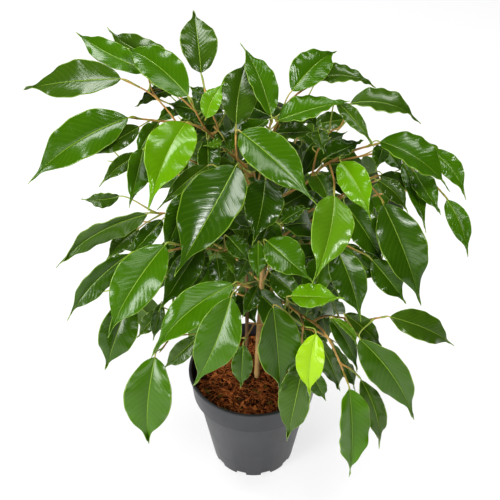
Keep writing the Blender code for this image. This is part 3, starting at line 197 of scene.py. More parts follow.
FRONT_BRANCHES = [
    Branch("upper_left", "trunk", 0.0017, [
        [(248, 168), (232, 155), (213, 137), (205, 130), (187, 123), (160, 121), (133, 118)],
    ], [
        Leaf("left_large", (128, 118), (28, 184), 18, 23, -8, "mid", (0.92, 1.05)),
        Leaf("left_bright", (186, 123), (148, 211), 22, 23, -5, "bright", (0.90, 1.00)),
        Leaf("left_behind", (139, 127), (86, 158), 10, 10, 0, "dark", (0.90, 0.98)),
        Leaf("left_behind_bright", (158, 124), (134, 162), 9, 9, -2, "mid", (0.82, 0.88)),
    ]),
    Branch("far_left", "upper_left", 0.0011, [
        [(176, 121), (168, 111), (155, 97), (143, 89), (126, 81)],
        [(160, 101), (152, 90), (148, 76)],
    ], [
        Leaf("far_left_top", (121, 79), (23, 90), 14, 19, -3, "dark", (0.98, 1.05)),
        Leaf("top_left_lime", (148, 72), (76, 32), 11, 13, 3, "fresh", (0.95, 1.00)),
        Leaf("far_grey", (172, 90), (135, 107), 5, 9, -2, "dark", (0.80, 0.90)),
        Leaf("small_side", (173, 110), (156, 121), 6, 6, 0, "mid", (0.84, 0.88)),
    ]),
    Branch("top_left", "upper_left", 0.0012, [
        [(208, 132), (200, 120), (196, 112), (190, 101)],
        [(196, 112), (180, 96), (172, 80), (169, 66)],
    ], [
        Leaf("top_left_broad", (188, 96), (123, 48), 15, 19, -6, "fresh", (0.95, 1.00)),
        Leaf("top_left_back", (168, 58), (107, 27), 10, 14, 7, "dark", (0.95, 1.00)),
        Leaf("top_inner_dark", (204, 112), (167, 103), 12, 12, 0, "deep", (0.80, 0.86)),
        Leaf("top_inner_left", (209, 101), (189, 86), 7, 7, 0, "deep", (0.82, 0.86)),
    ]),
    Branch("top_tall", "upper_left", 0.0012, [
        [(222, 146), (218, 128), (208, 104), (203, 80)],
    ], [
        Leaf("inner_round", (219, 132), (232, 154), 9, 8, 0, "dark", (0.68, 0.72)),
        Leaf("top_tall", (201, 73), (193, 10), 17, 18, -1, "dark", (0.95, 1.00)),
        Leaf("lime_top", (206, 118), (225, 82), 10, 9, 3, "bright", (0.90, 0.95)),
        Leaf("inner_grey", (223, 112), (184, 120), 9, 9, 0, "dark", (0.76, 0.80)),
        Leaf("inner_pale", (222, 141), (203, 146), 4, 4, 1, "light", (0.70, 0.72)),
    ]),
    Branch("top_centre", "trunk", 0.0014, [
        [(246, 178), (240, 166), (236, 148), (236, 131)],
    ], [
        Leaf("top_dark", (236, 124), (248, 58), 18, 18, 3, "dark", (0.86, 0.95)),
        Leaf("centre_top", (241, 132), (317, 205), 22, 19, 3, "mid", (0.92, 0.98)),
    ]),
    Branch("top_upright", "trunk", 0.0012, [
        [(256, 172), (264, 148), (270, 126)],
    ], [
        Leaf("top_upright", (271, 115), (240, 43), 10, 14, -4, "fresh", (0.92, 1.00)),
        Leaf("centre_behind_top", (275, 134), (318, 131), 13, 7, 0, "dark", (0.80, 0.88)),
    ]),
    Branch("top_right", "trunk", 0.0015, [
        [(262, 160), (274, 130), (284, 108), (296, 95), (308, 87)],
        [(284, 108), (280, 117)],
    ], [
        Leaf("top_round", (292, 91), (337, 51), 18, 15, 4, "fresh", (0.95, 1.00)),
        Leaf("top_long", (278, 121), (350, 101), 16, 6, 2, "fresh", (0.90, 1.00)),
        Leaf("far_right_pale", (314, 80), (376, 88), 11, 5, 8, "dark", (0.95, 1.00)),
        Leaf("top_shadow", (297, 108), (319, 131), 9, 8, 3, "deep", (0.82, 0.88)),
    ]),
    Branch("right_branch", "trunk", 0.0018, [
        [(268, 206), (290, 192), (309, 181), (322, 167), (350, 152), (376, 144)],
        [(333, 163), (334, 180), (334, 190)],
    ], [
        Leaf("right_big", (380, 142), (450, 192), 20, 9, 8, "fresh", (0.95, 1.05)),
        Leaf("right_bright", (341, 162), (371, 221), 14, 15, 4, "bright", (0.90, 0.98)),
        Leaf("right_light", (334, 196), (312, 284), 21, 19, 5, "light", (0.92, 1.00)),
        Leaf("right_under_branch", (383, 146), (375, 171), 8, 8, 0, "mid", (0.88, 0.90)),
        Leaf("right_top_dark", (326, 158), (364, 140), 17, 9, 0, "deep", (0.80, 0.88)),
    ]),
    Branch("far_right", "right_branch", 0.0012, [
        [(310, 178), (318, 150), (330, 132), (340, 127), (348, 110)],
    ], [
        Leaf("far_right_arched", (350, 104), (421, 124), 15, 6, 10, "dark", (0.98, 1.05)),
        Leaf("right_drooping", (338, 103), (374, 147), 8, 7, 2, "dark", (0.95, 1.00)),
        Leaf("small_grey", (318, 130), (324, 154), 10, 9, 0, "dark", (0.84, 0.90)),
    ]),
    Branch("right_tail", "right_branch", 0.0011, [
        [(366, 147), (384, 152), (404, 152), (424, 150)],
        [(404, 152), (420, 168), (436, 186), (444, 195)],
    ], [
        Leaf("right_tail", (430, 150), (466, 200), 11, 9, 6, "fresh", (0.98, 1.05)),
        Leaf("right_end", (447, 200), (468, 257), 10, 10, 4, "fresh", (1.00, 1.05)),
        Leaf("right_inner_tail", (414, 172), (441, 215), 12, 9, 0, "mid", (0.92, 1.00)),
        Leaf("right_narrow", (403, 163), (426, 233), 9, 8, 3, "mid", (0.88, 0.95)),
        Leaf("right_behind_big", (387, 150), (404, 173), 8, 8, 0, "mid", (0.88, 0.92)),
    ]),
    Branch("right_middle", "trunk", 0.0014, [
        [(264, 236), (300, 216), (340, 196), (366, 180), (378, 176)],
        [(366, 180), (376, 192), (382, 200)],
    ], [
        Leaf("right_glossy", (383, 204), (421, 306), 23, 19, 3, "deep", (0.95, 1.00)),
        Leaf("right_twig_upper", (380, 176), (418, 194), 8, 6, 3, "dark", (0.90, 0.96)),
        Leaf("right_twig_lower", (378, 181), (408, 213), 10, 8, 4, "dark", (0.88, 0.92)),
        Leaf("right_shadow", (345, 204), (385, 267), 16, 14, 2, "deep", (0.84, 0.88)),
    ]),
    Branch("right_lower", "trunk", 0.0013, [
        [(262, 256), (300, 246), (330, 240), (360, 252)],
    ], [
        Leaf("right_glossy_low", (336, 247), (361, 322), 16, 17, 3, "deep", (0.84, 0.90)),
        Leaf("right_lower_mid", (372, 260), (406, 304), 13, 12, 1, "deep", (0.90, 0.96)),
    ]),
    Branch("centre", "trunk", 0.0014, [
        [(258, 206), (248, 188), (238, 172)],
        [(248, 188), (226, 178), (206, 176)],
    ], [
        Leaf("centre_large", (236, 166), (174, 277), 23, 32, 1, "deep", (0.90, 1.00)),
        Leaf("left_inner_dark", (190, 192), (162, 260), 15, 14, 0, "deep", (0.80, 0.86)),
        Leaf("left_inner_grey", (207, 166), (157, 210), 9, 9, -2, "dark", (0.76, 0.86)),
    ]),
    Branch("centre_right", "trunk", 0.0012, [
        [(262, 222), (266, 200), (268, 188)],
        [(265, 210), (276, 222)],
    ], [
        Leaf("centre_dark", (265, 180), (252, 246), 20, 18, 2, "deep", (0.80, 0.86)),
        Leaf("centre_small", (282, 223), (310, 208), 12, 7, 2, "deep", (0.72, 0.76)),
    ]),
    Branch("centre_low", "trunk", 0.0012, [
        [(263, 284), (269, 268), (268, 250)],
    ], [
        Leaf("centre_glossy", (267, 241), (313, 282), 20, 17, 0, "mid", (0.84, 0.92)),
        Leaf("small_rimmed", (258, 243), (258, 281), 9, 9, 0, "mid", (0.74, 0.78)),
        Leaf("under_glossy", (271, 273), (306, 304), 11, 11, 0, "deep", (0.72, 0.80)),
    ]),
    Branch("inner_left", "second_stem", 0.0011, [
        [(247, 268), (236, 252), (224, 248)],
    ], [
        Leaf("inner_dark_a", (228, 237), (252, 264), 11, 9, 0, "deep", (0.68, 0.70)),
        Leaf("inner_dark_b", (248, 257), (235, 286), 7, 8, 0, "deep", (0.62, 0.66)),
        Leaf("inner_green", (217, 258), (222, 291), 11, 12, 0, "deep", (0.66, 0.70)),
        Leaf("inner_curl", (222, 252), (236, 280), 6, 5, 3, "light", (0.62, 0.66)),
        Leaf("left_deep", (201, 245), (158, 312), 14, 13, 0, "deep", (0.78, 0.84)),
    ]),
    Branch("left_middle", "trunk", 0.0013, [
        [(256, 222), (224, 214), (190, 214), (154, 213)],
    ], [
        Leaf("left_arched", (147, 214), (56, 268), 13, 8, -9, "dark", (0.95, 1.05)),
        Leaf("left_back_flat", (119, 196), (81, 199), 8, 6, 2, "dark", (0.85, 0.92)),
        Leaf("left_tuft_dark", (162, 220), (125, 262), 8, 9, 0, "deep", (0.80, 0.88)),
        Leaf("left_tuft_grey", (137, 230), (105, 262), 8, 9, -2, "dark", (0.80, 0.88)),
    ]),
    Branch("left_upper", "trunk", 0.0012, [
        [(254, 194), (214, 172), (180, 156), (150, 150)],
    ], [
        Leaf("left_small_green", (143, 150), (129, 208), 13, 11, 0, "mid", (0.86, 0.95)),
        Leaf("left_back_small", (140, 155), (99, 187), 8, 8, -4, "dark", (0.80, 0.90)),
    ]),
    Branch("left_low", "trunk", 0.0014, [
        [(260, 262), (226, 252), (196, 246), (172, 244)],
        [(190, 246), (150, 256), (136, 268)],
    ], [
        Leaf("left_low_large", (165, 245), (108, 338), 21, 23, -5, "fresh", (0.92, 1.00)),
        Leaf("left_shadow", (129, 254), (67, 321), 13, 10, -6, "deep", (0.90, 1.00)),
        Leaf("left_low_dark", (128, 300), (105, 370), 18, 17, 0, "deep", (0.84, 0.92)),
    ]),
    Branch("front_left", "trunk", 0.0013, [
        [(260, 292), (250, 286), (242, 284), (236, 285)],
    ], [
        Leaf("front_left", (231, 297), (193, 386), 21, 20, 4, "mid", (0.88, 0.90)),
        Leaf("front_left_wavy", (233, 284), (151, 358), 16, 18, -9, "fresh", (0.86, 0.95)),
        Leaf("stem_leaf", (258, 286), (242, 318), 8, 7, 0, "deep", (0.62, 0.66)),
    ]),
    Branch("left_hanging", "second_stem", 0.0012, [
        [(248, 296), (222, 292), (196, 306), (176, 330), (162, 349)],
    ], [
        Leaf("left_hanging", (155, 357), (149, 444), 22, 23, -4, "mid", (0.92, 0.95)),
        Leaf("low_back_pale", (160, 310), (137, 338), 7, 8, 0, "dark", (0.62, 0.70)),
        Leaf("low_back_dark", (161, 303), (153, 341), 6, 6, 0, "deep", (0.72, 0.76)),
        Leaf("low_back_brown", (198, 337), (163, 369), 9, 9, 0, "dark", (0.60, 0.66)),
        Leaf("behind_stems", (240, 292), (257, 326), 10, 10, 0, "deep", (-0.55, -0.60)),
    ]),
    Branch("right_low", "trunk", 0.0017, [
        [(262, 291), (280, 300), (300, 314), (318, 326), (328, 338), (337, 356), (347, 381)],
        [(300, 314), (303, 326), (302, 340), (304, 356)],
        [(340, 362), (352, 370), (358, 376)],
    ], [
        Leaf("right_hanging", (349, 389), (349, 477), 18, 12, 3, "fresh", (0.92, 0.92)),
        Leaf("yellow_hanging", (316, 334), (310, 396), 13, 14, -3, "lime", (0.90, 0.92)),
        Leaf("front_right_dark", (273, 307), (280, 392), 22, 18, 1, "deep", (0.84, 0.84)),
        Leaf("front_right_low", (304, 362), (287, 441), 14, 17, 0, "dark", (0.84, 0.88)),
        Leaf("low_right_tail", (361, 380), (379, 449), 10, 10, 6, "dark", (0.88, 0.92)),
        Leaf("pot_edge_dark", (311, 372), (326, 401), 8, 8, 0, "deep", (0.72, 0.74)),
    ]),
    Branch("lime_pair", "right_low", 0.0009, [
        [(282, 301), (287, 299)],
    ], [
        Leaf("lime_small", (291, 296), (345, 298), 13, 10, 0, "bright", (0.88, 0.96)),
    ]),
    Branch("far_right_low", "right_low", 0.0013, [
        [(312, 322), (326, 316), (344, 318), (362, 320), (384, 317)],
        [(344, 318), (350, 328), (357, 335)],
    ], [
        Leaf("far_right_low", (390, 317), (454, 346), 15, 12, 4, "dark", (0.98, 1.05)),
        Leaf("right_low_dark", (360, 339), (414, 420), 15, 19, 7, "deep", (0.90, 0.95)),
        Leaf("pale_edge", (333, 318), (358, 350), 4, 3, 5, "light", (0.93, 0.95)),
        Leaf("low_pair_grey", (345, 314), (382, 348), 10, 9, 2, "dark", (0.82, 0.86)),
        Leaf("low_pair_dark", (330, 318), (357, 372), 8, 8, 4, "deep", (0.80, 0.84)),
    ]),
    Branch("right_low_inner", "second_stem", 0.0011, [
        [(248, 322), (280, 326), (312, 330), (328, 338)],
        [(254, 323), (246, 338)],
    ], [
        Leaf("low_narrow", (334, 345), (355, 392), 5, 8, 3, "deep", (0.76, 0.82)),
        Leaf("low_broad", (318, 338), (340, 391), 9, 14, 2, "dark", (0.68, 0.80)),
        Leaf("pot_leaf", (243, 345), (241, 388), 10, 10, 0, "deep", (0.50, 0.50)),
    ]),
]

# Blades in front of the others, then those just behind them; the rest lie deeper
FRONT_BLADES = (
    "centre_large centre_top left_bright left_large left_low_large front_left front_left_wavy "
    "left_hanging yellow_hanging right_hanging lime_small right_light right_bright right_glossy "
    "centre_glossy front_right_dark right_big top_left_broad top_upright top_round top_long "
    "lime_top right_low_dark far_left_top small_rimmed"
).split()
MIDDLE_BLADES = (
    "top_left_lime top_left_back top_tall top_dark far_right_pale far_right_arched "
    "right_drooping centre_dark centre_small left_shadow left_low_dark left_arched left_behind "
    "left_small_green right_tail right_end right_inner_tail right_narrow right_glossy_low "
    "right_lower_mid far_right_low low_right_tail front_right_low pale_edge right_shadow"
).split()

# The hidden side of the crown: for each branch the compass angle it grows to, with +X at 0
# and the back at 90, the height of its end above the crown's middle as an angle, and the
# height at which it leaves the trunk. Below, the limits within which its twigs and its
# blades are drawn: reaches and spreads are shares of the crown's radius or of a length.
BACK_BRANCHES = [
    (10, -16, 0.215), (14, 14, 0.270), (30, -34, 0.180), (36, 2, 0.245), (44, 30, 0.310),
    (60, -20, 0.205), (66, 10, 0.275), (74, 42, 0.328), (88, -36, 0.185), (90, -6, 0.240),
    (94, 22, 0.300), (116, -22, 0.200), (118, 8, 0.260), (124, 38, 0.320), (142, -10, 0.225),
    (148, 18, 0.290), (164, -26, 0.195), (158, 2, 0.250), (84, 62, 0.331), (34, 54, 0.322),
    (140, 58, 0.326),
]
BACK_LEAVES = 4
BACK_TOP = 0.145
BACK_RADIUS = 0.0014
BACK_TWIG_TRIES = 60
BACK_LEAF_TRIES = 240
BACK_TWIG_REACH = (0.72, 0.84)
BACK_TWIG_ARCH = (0.015, 0.045)
BACK_TWIG_SWAY = 0.012
BACK_TWIG_STRAY = 0.1
BACK_TWIG_KNEE = 0.45
BACK_TWIG_BENDS = (0.25, 0.5, 0.75, 1.0)
BACK_ROOT_STEP = 0.01
BACK_ROOT_STEPS = 5
BACK_LEAF_REACH = (0.76, 0.95)
BACK_LEAF_LENGTH = (0.070, 0.096)
BACK_LEAF_TURN = math.radians(70.0)
BACK_LEAF_ROLL = math.radians(28.0)
BACK_LEAF_RUN = 0.94
BACK_LEAF_RISE = (-0.12, 0.27)
BACK_LEAF_UP = 0.5
BACK_LEAF_BOW = 0.05
BACK_NEAR_TOP = 0.4
BACK_NEAR_MIDDLE = 0.1
BACK_SHRINK = 0.30
BACK_SPREAD = (0.30, 0.55)
BACK_OUTERMOST = 1.03
BACK_LOWEST = 0.085
BACK_CORE = 0.07
BACK_CORE_TOP = 0.31
BACK_PETIOLE = 0.034
BACK_ASPECT = 0.21
BACK_TONES = ("deep", "mid", "dark", "mid", "fresh", "deep", "mid")
DOWN = Vector((0.0, 0.0, -1.0))

# Part of the view where the crown has no gaps: blades of the hidden side may show through there
DENSE_CROWN = [
    (195, 100), (235, 80), (290, 112), (335, 130), (382, 165), (390, 210), (372, 270), (332, 300),
    (338, 336), (312, 338), (262, 324), (234, 326), (206, 306), (172, 300), (165, 262), (186, 200),
    (172, 160), (180, 118),
]


def ray(pixel):
    """Direction of a point of the view, one metre deep."""
    across = (pixel[0] - CENTRE[0]) / FOCAL
    above = (CENTRE[1] - pixel[1]) / FOCAL
    return AHEAD + RIGHT * across + UP * above


def at_depth(pixel, depth):
    return EYE + ray(pixel) * depth


def in_view(point):
    """Place of a point in the view, and its depth."""
    away = point - EYE
    depth = away.dot(AHEAD)
    across = CENTRE[0] + FOCAL * away.dot(RIGHT) / depth
    above = CENTRE[1] - FOCAL * away.dot(UP) / depth
    return Vector((across, above)), depth


def shell_depth(pixel, reach):
    """Depth at which a sight line meets the near side of a shell round the crown's centre."""
    direction = ray(pixel)
    offset = EYE - CROWN_CENTRE
    middle = -offset.dot(direction) / direction.length_squared
    closest = (offset + direction * middle).length
    radius = abs(reach) * CROWN_RADIUS
    if radius <= closest:
        return middle
    way = math.copysign(math.sqrt(radius ** 2 - closest ** 2), reach)
    return middle - way / direction.length


def outline(s):
    """Half-width of a blade along its midrib, as a share of its widest: oval, with a drip tip."""
    if s <= 0.0 or s >= 1.0:
        return 0.0
    late = min(max((s - DRIP_START) / DRIP_REACH, 0.0), 1.0)
    drip = 1.0 - DRIP_CUT * late * late * (3.0 - 2.0 * late)
    return math.sin(math.pi * s ** FULLNESS) * drip


class Blade:
    """One leaf blade: a chord from base to tip, the side it shows, and how it is bent."""

    def __init__(self, name, base, tip, facing, half_width, roll, bow, tone):
        draw = random.Random("blade " + name)
        self.name = name
        self.tone = tone
        self.base = base
        self.chord = tip - base
        self.length = self.chord.length
        self.along = self.chord.normalized()
        self.normal = (facing - self.along * facing.dot(self.along)).normalized()
        self.side = self.normal.cross(self.along)
        self.half_width = half_width
        self.roll = roll
        self.twist = draw.uniform(-TWIST, TWIST)
        self.bow = bow
        self.camber = CAMBER * draw.uniform(*CAMBER_SPREAD)
        self.phases = (draw.uniform(0.0, 1.0), draw.uniform(0.0, 1.0))
        self.wave = WAVE * draw.uniform(*WAVE_SPREAD) * min(1.0, self.length / WAVY_LENGTH)

    def section(self, s):
        """Across the midrib at share s: its point, the ways aside and up, the half-width, and
        how far the edge may wave there, from 0 at both ends of the blade to 1."""
        arch = 4.0 * s * (1.0 - s)
        turn = self.roll + self.twist * (s - 0.5)
        side = self.side * math.cos(turn) + self.normal * math.sin(turn)
        rise = self.normal * math.cos(turn) - self.side * math.sin(turn)
        middle = self.base + self.chord * s
        middle += (self.side * self.bow + self.normal * self.camber * self.length) * arch
        return middle, side, rise, self.half_width * outline(s), min(1.0, 4.0 * arch)

    def phase(self, v):
        return self.phases[0] if v >= 0 else self.phases[1]

    def point(self, s, v):
        """Point at share s of the midrib and share v of the half-width, left above 0."""
        middle, side, rise, width, fade = self.section(s)
        lift = width * math.sin(FOLD) * abs(v)
        lift += self.wave * v * v * math.sin(math.tau * (WAVES * s + self.phase(v))) * fade
        return middle + side * (width * math.cos(FOLD) * v) + rise * lift

    def sheet(self):
        """Points and triangles of the blade's surface, from its base to its tip."""
        rows = ROWS_LARGE if self.length > SMALL_BLADE else ROWS_SMALL
        start = self.base + self.along * GAP
        left = (self.point(BROAD, 1) - self.point(BROAD, 0)).normalized()
        right = (self.point(BROAD, -1) - self.point(BROAD, 0)).normalized()
        half = 0.5 * PETIOLE_WIDTH
        points = [start + right * half, start, start + left * half]
        for s in rows:
            points += [self.point(s, v) for v in (-1, 0, 1)]
        points.append(self.point(1.0, 0.0))
        faces = []
        for row in range(len(rows)):
            a = 3 * row
            faces += [(a, a + 1, a + 4), (a, a + 4, a + 3)]
            faces += [(a + 1, a + 2, a + 4), (a + 2, a + 5, a + 4)]
        last = 3 * len(rows)
        faces += [(last, last + 1, last + 3), (last + 1, last + 2, last + 3)]
        return points, faces

    def with_petiole(self, joint):
        """The same surface with a narrow strip that runs back from the base to a twig."""
        points, faces = self.sheet()
        back = (joint - self.base).normalized()
        side = (points[2] - points[0])
        side = (side - back * side.dot(back)).normalized() * (0.5 * ROOT_WIDTH)
        left = len(points)
        root = joint + back * GAP
        points += [root - side, root + side]
        faces += [(left, left + 1, 1), (left, 1, 0), (left + 1, 2, 1)]
        return points, faces


def thicken(points, faces, thickness):
    """Closed shell of a thickness round a sheet, as points and triangles."""
    normals = [Vector() for _ in points]
    edges = {}
    for a, b, c in faces:
        normal = (points[b] - points[a]).cross(points[c] - points[a])
        for corner in (a, b, c):
            normals[corner] += normal
        for edge in ((a, b), (b, c), (c, a)):
            edges[edge] = True
    count = len(points)
    offsets = [normal.normalized() * (0.5 * thickness) for normal in normals]
    solid = [p + n for p, n in zip(points, offsets)] + [p - n for p, n in zip(points, offsets)]
    shell = list(faces) + [(c + count, b + count, a + count) for a, b, c in faces]
    for a, b in edges:
        if (b, a) not in edges:
            shell += [(b, a, a + count), (b, a + count, b + count)]
    return solid, shell


def tube_shape(points, radii):
    """Plain four-sided tube, used only to see what a twig would touch."""
    solid = []
    shell = []
    for index, point in enumerate(points):
        before = points[max(index - 1, 0)]
        after = points[min(index + 1, len(points) - 1)]
        along = (after - before).normalized()
        side = along.orthogonal().normalized()
        other = along.cross(side)
        for step in range(4):
            angle = math.tau * step / 4
            solid.append(point + (side * math.cos(angle) + other * math.sin(angle)) * radii[index])
    for ring in range(len(points) - 1):
        for step in range(4):
            a = 4 * ring + step
            b = 4 * ring + (step + 1) % 4
            shell += [(a, b, b + 4), (a, b + 4, a + 4)]
    return solid, shell


class Solid:
    """Something already placed, with what it takes to test against it."""

    def __init__(self, owner, name, points, faces, rank=9):
        self.owner = owner
        self.name = name
        self.rank = rank
        self.low = Vector(min(p[axis] for p in points) for axis in range(3))
        self.high = Vector(max(p[axis] for p in points) for axis in range(3))
        self.tree = BVHTree.FromPolygons(points, faces)

    def near(self, other):
        return all(self.low[a] <= other.high[a] and other.low[a] <= self.high[a] for a in range(3))

    def hits(self, other):
        return self.near(other) and bool(self.tree.overlap(other.tree))


def is_clear(solid, placed, skip=()):
    return not any(solid.hits(other) for other in placed if other.name not in skip)


def front_blade(leaf, push):
    """The blade of a leaf measured in the view, moved back along its sight lines by push."""
    near = shell_depth(leaf.base, leaf.reach[0])
    far = shell_depth(leaf.tip, leaf.reach[1])
    span = math.dist(leaf.base, leaf.tip) * near / FOCAL
    lean = min(max(far - near, -MAX_LEAN * span), MAX_LEAN * span)
    near += push
    far = near + lean
    base = at_depth(leaf.base, near)
    tip = at_depth(leaf.tip, far)
    scale = 0.5 * (near + far) / FOCAL
    skew = (leaf.right - leaf.left) / (leaf.right + leaf.left)
    roll = math.atan(skew / math.tan(FOLD))
    roll = min(max(roll, -MAX_ROLL), MAX_ROLL)
    half = 0.5 * WIDENED * (leaf.left + leaf.right) * scale / (math.cos(FOLD) * math.cos(roll))
    half = min(half, WIDEST * (tip - base).length)
    facing = EYE - 0.5 * (base + tip)
    return Blade(leaf.name, base, tip, facing, half, roll, leaf.bow * scale, leaf.tone)


def hides(blade, rank, placed):
    """Whether a blade would stand in front of one that is nearer in the view."""
    points, _ = blade.sheet()
    for point in points:
        sight = (point - EYE).normalized()
        for other in placed:
            if other.rank < rank and other.tree.ray_cast(point, sight, SIGHT)[0] is not None:
                return True
    return False


def place_front_blades(placed):
    """Blades of the front, each pushed back until it clears those before it."""
    order = {}
    for name in FRONT_BLADES:
        order[name] = 0
    for name in MIDDLE_BLADES:
        order[name] = 1
    rows = [(order.get(leaf.name, 2), branch.name, leaf)
            for branch in FRONT_BRANCHES for leaf in branch.leaves]
    rows.sort(key=lambda row: row[0])
    blades = {}
    for rank, owner, leaf in rows:
        for step in range(PUSH_TRIES):
            blade = front_blade(leaf, step * PUSH_STEP)
            shape = thicken(*blade.sheet(), BLADE_THICKNESS + 2 * BLADE_CLEARANCE)
            solid = Solid(owner, leaf.name, *shape, rank)
            if is_clear(solid, placed) and not hides(blade, rank, placed):
                break
        blades[leaf.name] = blade
        placed.append(Solid(owner, leaf.name, *thicken(*blade.sheet(), BLADE_THICKNESS), rank))
    return blades


def tapered(points, radius):
    """Radii along a path, thinning evenly to TAPER of the first, but never under THIN_TWIG."""
    last = len(points) - 1
    return [max(radius * (1.0 - (1.0 - TAPER) * index / last), THIN_TWIG)
            for index in range(len(points))]


def sampled(points, radii, step=JOINT_STEP):
    """Points along a path every step or so, each with its radius and direction."""
    samples = []
    for index in range(len(points) - 1):
        start, end = points[index], points[index + 1]
        along = (end - start).normalized()
        count = max(1, round((end - start).length / step))
        for part in range(count):
            share = part / count
            radius = radii[index] * (1 - share) + radii[index + 1] * share
            samples.append((start.lerp(end, share), radius, along))
    samples.append((points[-1] - along * TWIG_END, radii[-1], along))
    return samples


def clearance(start, along, radius, samples):
    """Gap between a bar's flat end and the surface of the bar that samples describe."""
    gap = math.inf
    for (low, low_radius, _), (high, high_radius, _) in zip(samples, samples[1:]):
        step = high - low
        if step.length > 2 * JOINT_STEP:
            continue
        share = min(max((start - low).dot(step) / step.length_squared, 0.0), 1.0)
        away = start - low.lerp(high, share)
        thick = low_radius * (1 - share) + high_radius * share
        facing = away.normalized().dot(along)
        gap = min(gap, away.length - thick - radius * math.sqrt(max(0.0, 1.0 - facing ** 2)))
    return gap


def leave(parent_samples, wanted, first, radius, shift=0):
    """Start of a twig, just clear of its parent, at the parent's sample nearest to wanted."""
    nearest = min(range(len(parent_samples)), key=wanted)
    nearest = min(max(nearest + shift, 1), len(parent_samples) - 2)
    point = parent_samples[nearest][0]
    along = (first - point).normalized()
    start = point
    for step in range(LEAVE_TRIES):
        start = point + along * (LEAVE_STEP * step)
        if clearance(start, along, radius, parent_samples) >= GAP:
            break
    return start


def twig_depth(pixel, leaves, blades):
    """Depth of a twig in the view: a little behind the bases of the blades that it bears."""
    total = 0.0
    weights = 0.0
    for leaf in leaves:
        place, depth = in_view(blades[leaf.name].base)
        weight = 1.0 / ((place - Vector(pixel)).length_squared + NEAR_BLADE)
        total += weight * depth
        weights += weight
    return total / weights + TWIG_BEHIND


def front_twig(branch, index, blades, grown, bump, shift):
    """Points of one twig of a front branch, bent in depth by bump and set along its parent."""
    pixels = branch.twigs[index]
    parent = branch.parent if index == 0 else branch.name
    samples = grown[parent]
    _, start_depth = in_view(min(
        (s[0] for s in samples), key=lambda p: (in_view(p)[0] - Vector(pixels[0])).length))
    points = []
    last = len(pixels) - 1
    for step, pixel in enumerate(pixels):
        share = step / last
        ease = min(share / ROOT_EASE, 1.0) if index == 0 else 1.0
        ease = ease * ease * (3.0 - 2.0 * ease)
        wanted = twig_depth(pixel, branch.leaves, blades)
        depth = start_depth * (1 - ease) + wanted * ease + bump * math.sin(math.pi * share)
        points.append(at_depth(pixel, depth))
    if index > 0:
        nearest = min(range(len(samples)),
                      key=lambda i: (in_view(samples[i][0])[0] - Vector(pixels[0])).length)
        points[0] = samples[nearest][0]
    else:
        points[0] = leave(
            samples, lambda i: (in_view(samples[i][0])[0] - Vector(pixels[0])).length,
            points[1], branch.radius, shift)
    return points


def place_front_twigs(branch, blades, grown, placed):
    """Twigs of one front branch, each on the first route that clears what is placed."""
    twigs = []
    for index in range(len(branch.twigs)):
        radius = branch.radius if index == 0 else SIDE_TWIG * branch.radius
        shifts = TWIG_SHIFTS if index == 0 else (0,)
        for bump, shift in ((bump, shift) for bump in TWIG_BUMPS for shift in shifts):
            points = front_twig(branch, index, blades, grown, bump, shift)
            radii = tapered(points, radius)
            fat = [r + TWIG_CLEARANCE for r in radii]
            start = 0 if index == 0 else 1
            test = points[start:]
            if len(test) < 2:
                test = [points[0].lerp(points[1], SHORT_TWIG_START), points[1]]
            solid = Solid(branch.name, branch.name, *tube_shape(test, fat[:len(test)]))
            if is_clear(solid, placed, (branch.parent, branch.name)):
                break
        else:
            points = front_twig(branch, index, blades, grown, 0, 0)
        twigs.append((points, radii))
        placed.append(Solid(branch.name, branch.name, *tube_shape(points, radii)))
        grown.setdefault(branch.name, []).extend(sampled(points, radii))
    return twigs


def strip_shape(joint, blade, thickness):
    """The petiole's strip from a joint to a blade's base, as a closed shell."""
    points, faces = blade.with_petiole(joint)
    count = len(points)
    keep = [0, 1, 2, count - 2, count - 1]
    names = {old: new for new, old in enumerate(keep)}
    strip = [tuple(names[c] for c in face) for face in faces[-3:]]
    places = [points[i].lerp(joint, PETIOLE_START) if i < 3 else points[i] for i in keep]
    return thicken(places, strip, thickness)


def choose_joint(owner, blade, samples, placed):
    """Where on its branch a blade's petiole starts: near, in line, and with a clear way."""
    def cost(sample):
        away = blade.base - sample[0]
        bend = 1.0 - away.normalized().dot(blade.along)
        sharp = SHARP_COST if bends_sharply(blade, sample[0]) else 0.0
        return abs(away.length - PETIOLE) + BEND_COST * bend + sharp
    ranked = sorted(samples[JOINT_FIRST:] if len(samples) > FEW_SAMPLES else samples, key=cost)
    for sample in ranked:
        shape = strip_shape(sample[0], blade, BLADE_THICKNESS + TWIG_CLEARANCE)
        solid = Solid(owner, "petiole " + blade.name, *shape)
        if is_clear(solid, placed, (blade.name, owner)):
            return sample[0], True
    return ranked[0][0], False


def place_petioles(owner, blades, samples, placed):
    """Where each blade of a branch is joined to it."""
    joints = []
    for blade in blades:
        joint, _ = choose_joint(owner, blade, samples, placed)
        joints.append(joint)
        placed.append(Solid(owner, owner, *strip_shape(joint, blade, BLADE_THICKNESS)))
    return joints


def inside_dense_crown(place):
    """Whether a point of the view lies inside the outline DENSE_CROWN."""
    inside = False
    before = DENSE_CROWN[-1]
    for corner in DENSE_CROWN:
        if (corner[1] > place[1]) != (before[1] > place[1]):
            share = (place[1] - corner[1]) / (before[1] - corner[1])
            if place[0] < corner[0] + share * (before[0] - corner[0]):
                inside = not inside
        before = corner
    return inside


def hidden_from_front(points, fronts):
    """Whether every point is behind a front blade or inside the dense crown."""
    for point in points:
        if inside_dense_crown(in_view(point)[0]):
            continue
        sight = (EYE - point).normalized()
        if not any(solid.tree.ray_cast(point, sight)[0] is not None for solid in fronts):
            return False
    return True


def on_crown(azimuth, elevation):
    """Outward direction from the crown's centre, angles in radians."""
    flat = math.cos(elevation)
    return Vector((flat * math.cos(azimuth), flat * math.sin(azimuth), math.sin(elevation)))


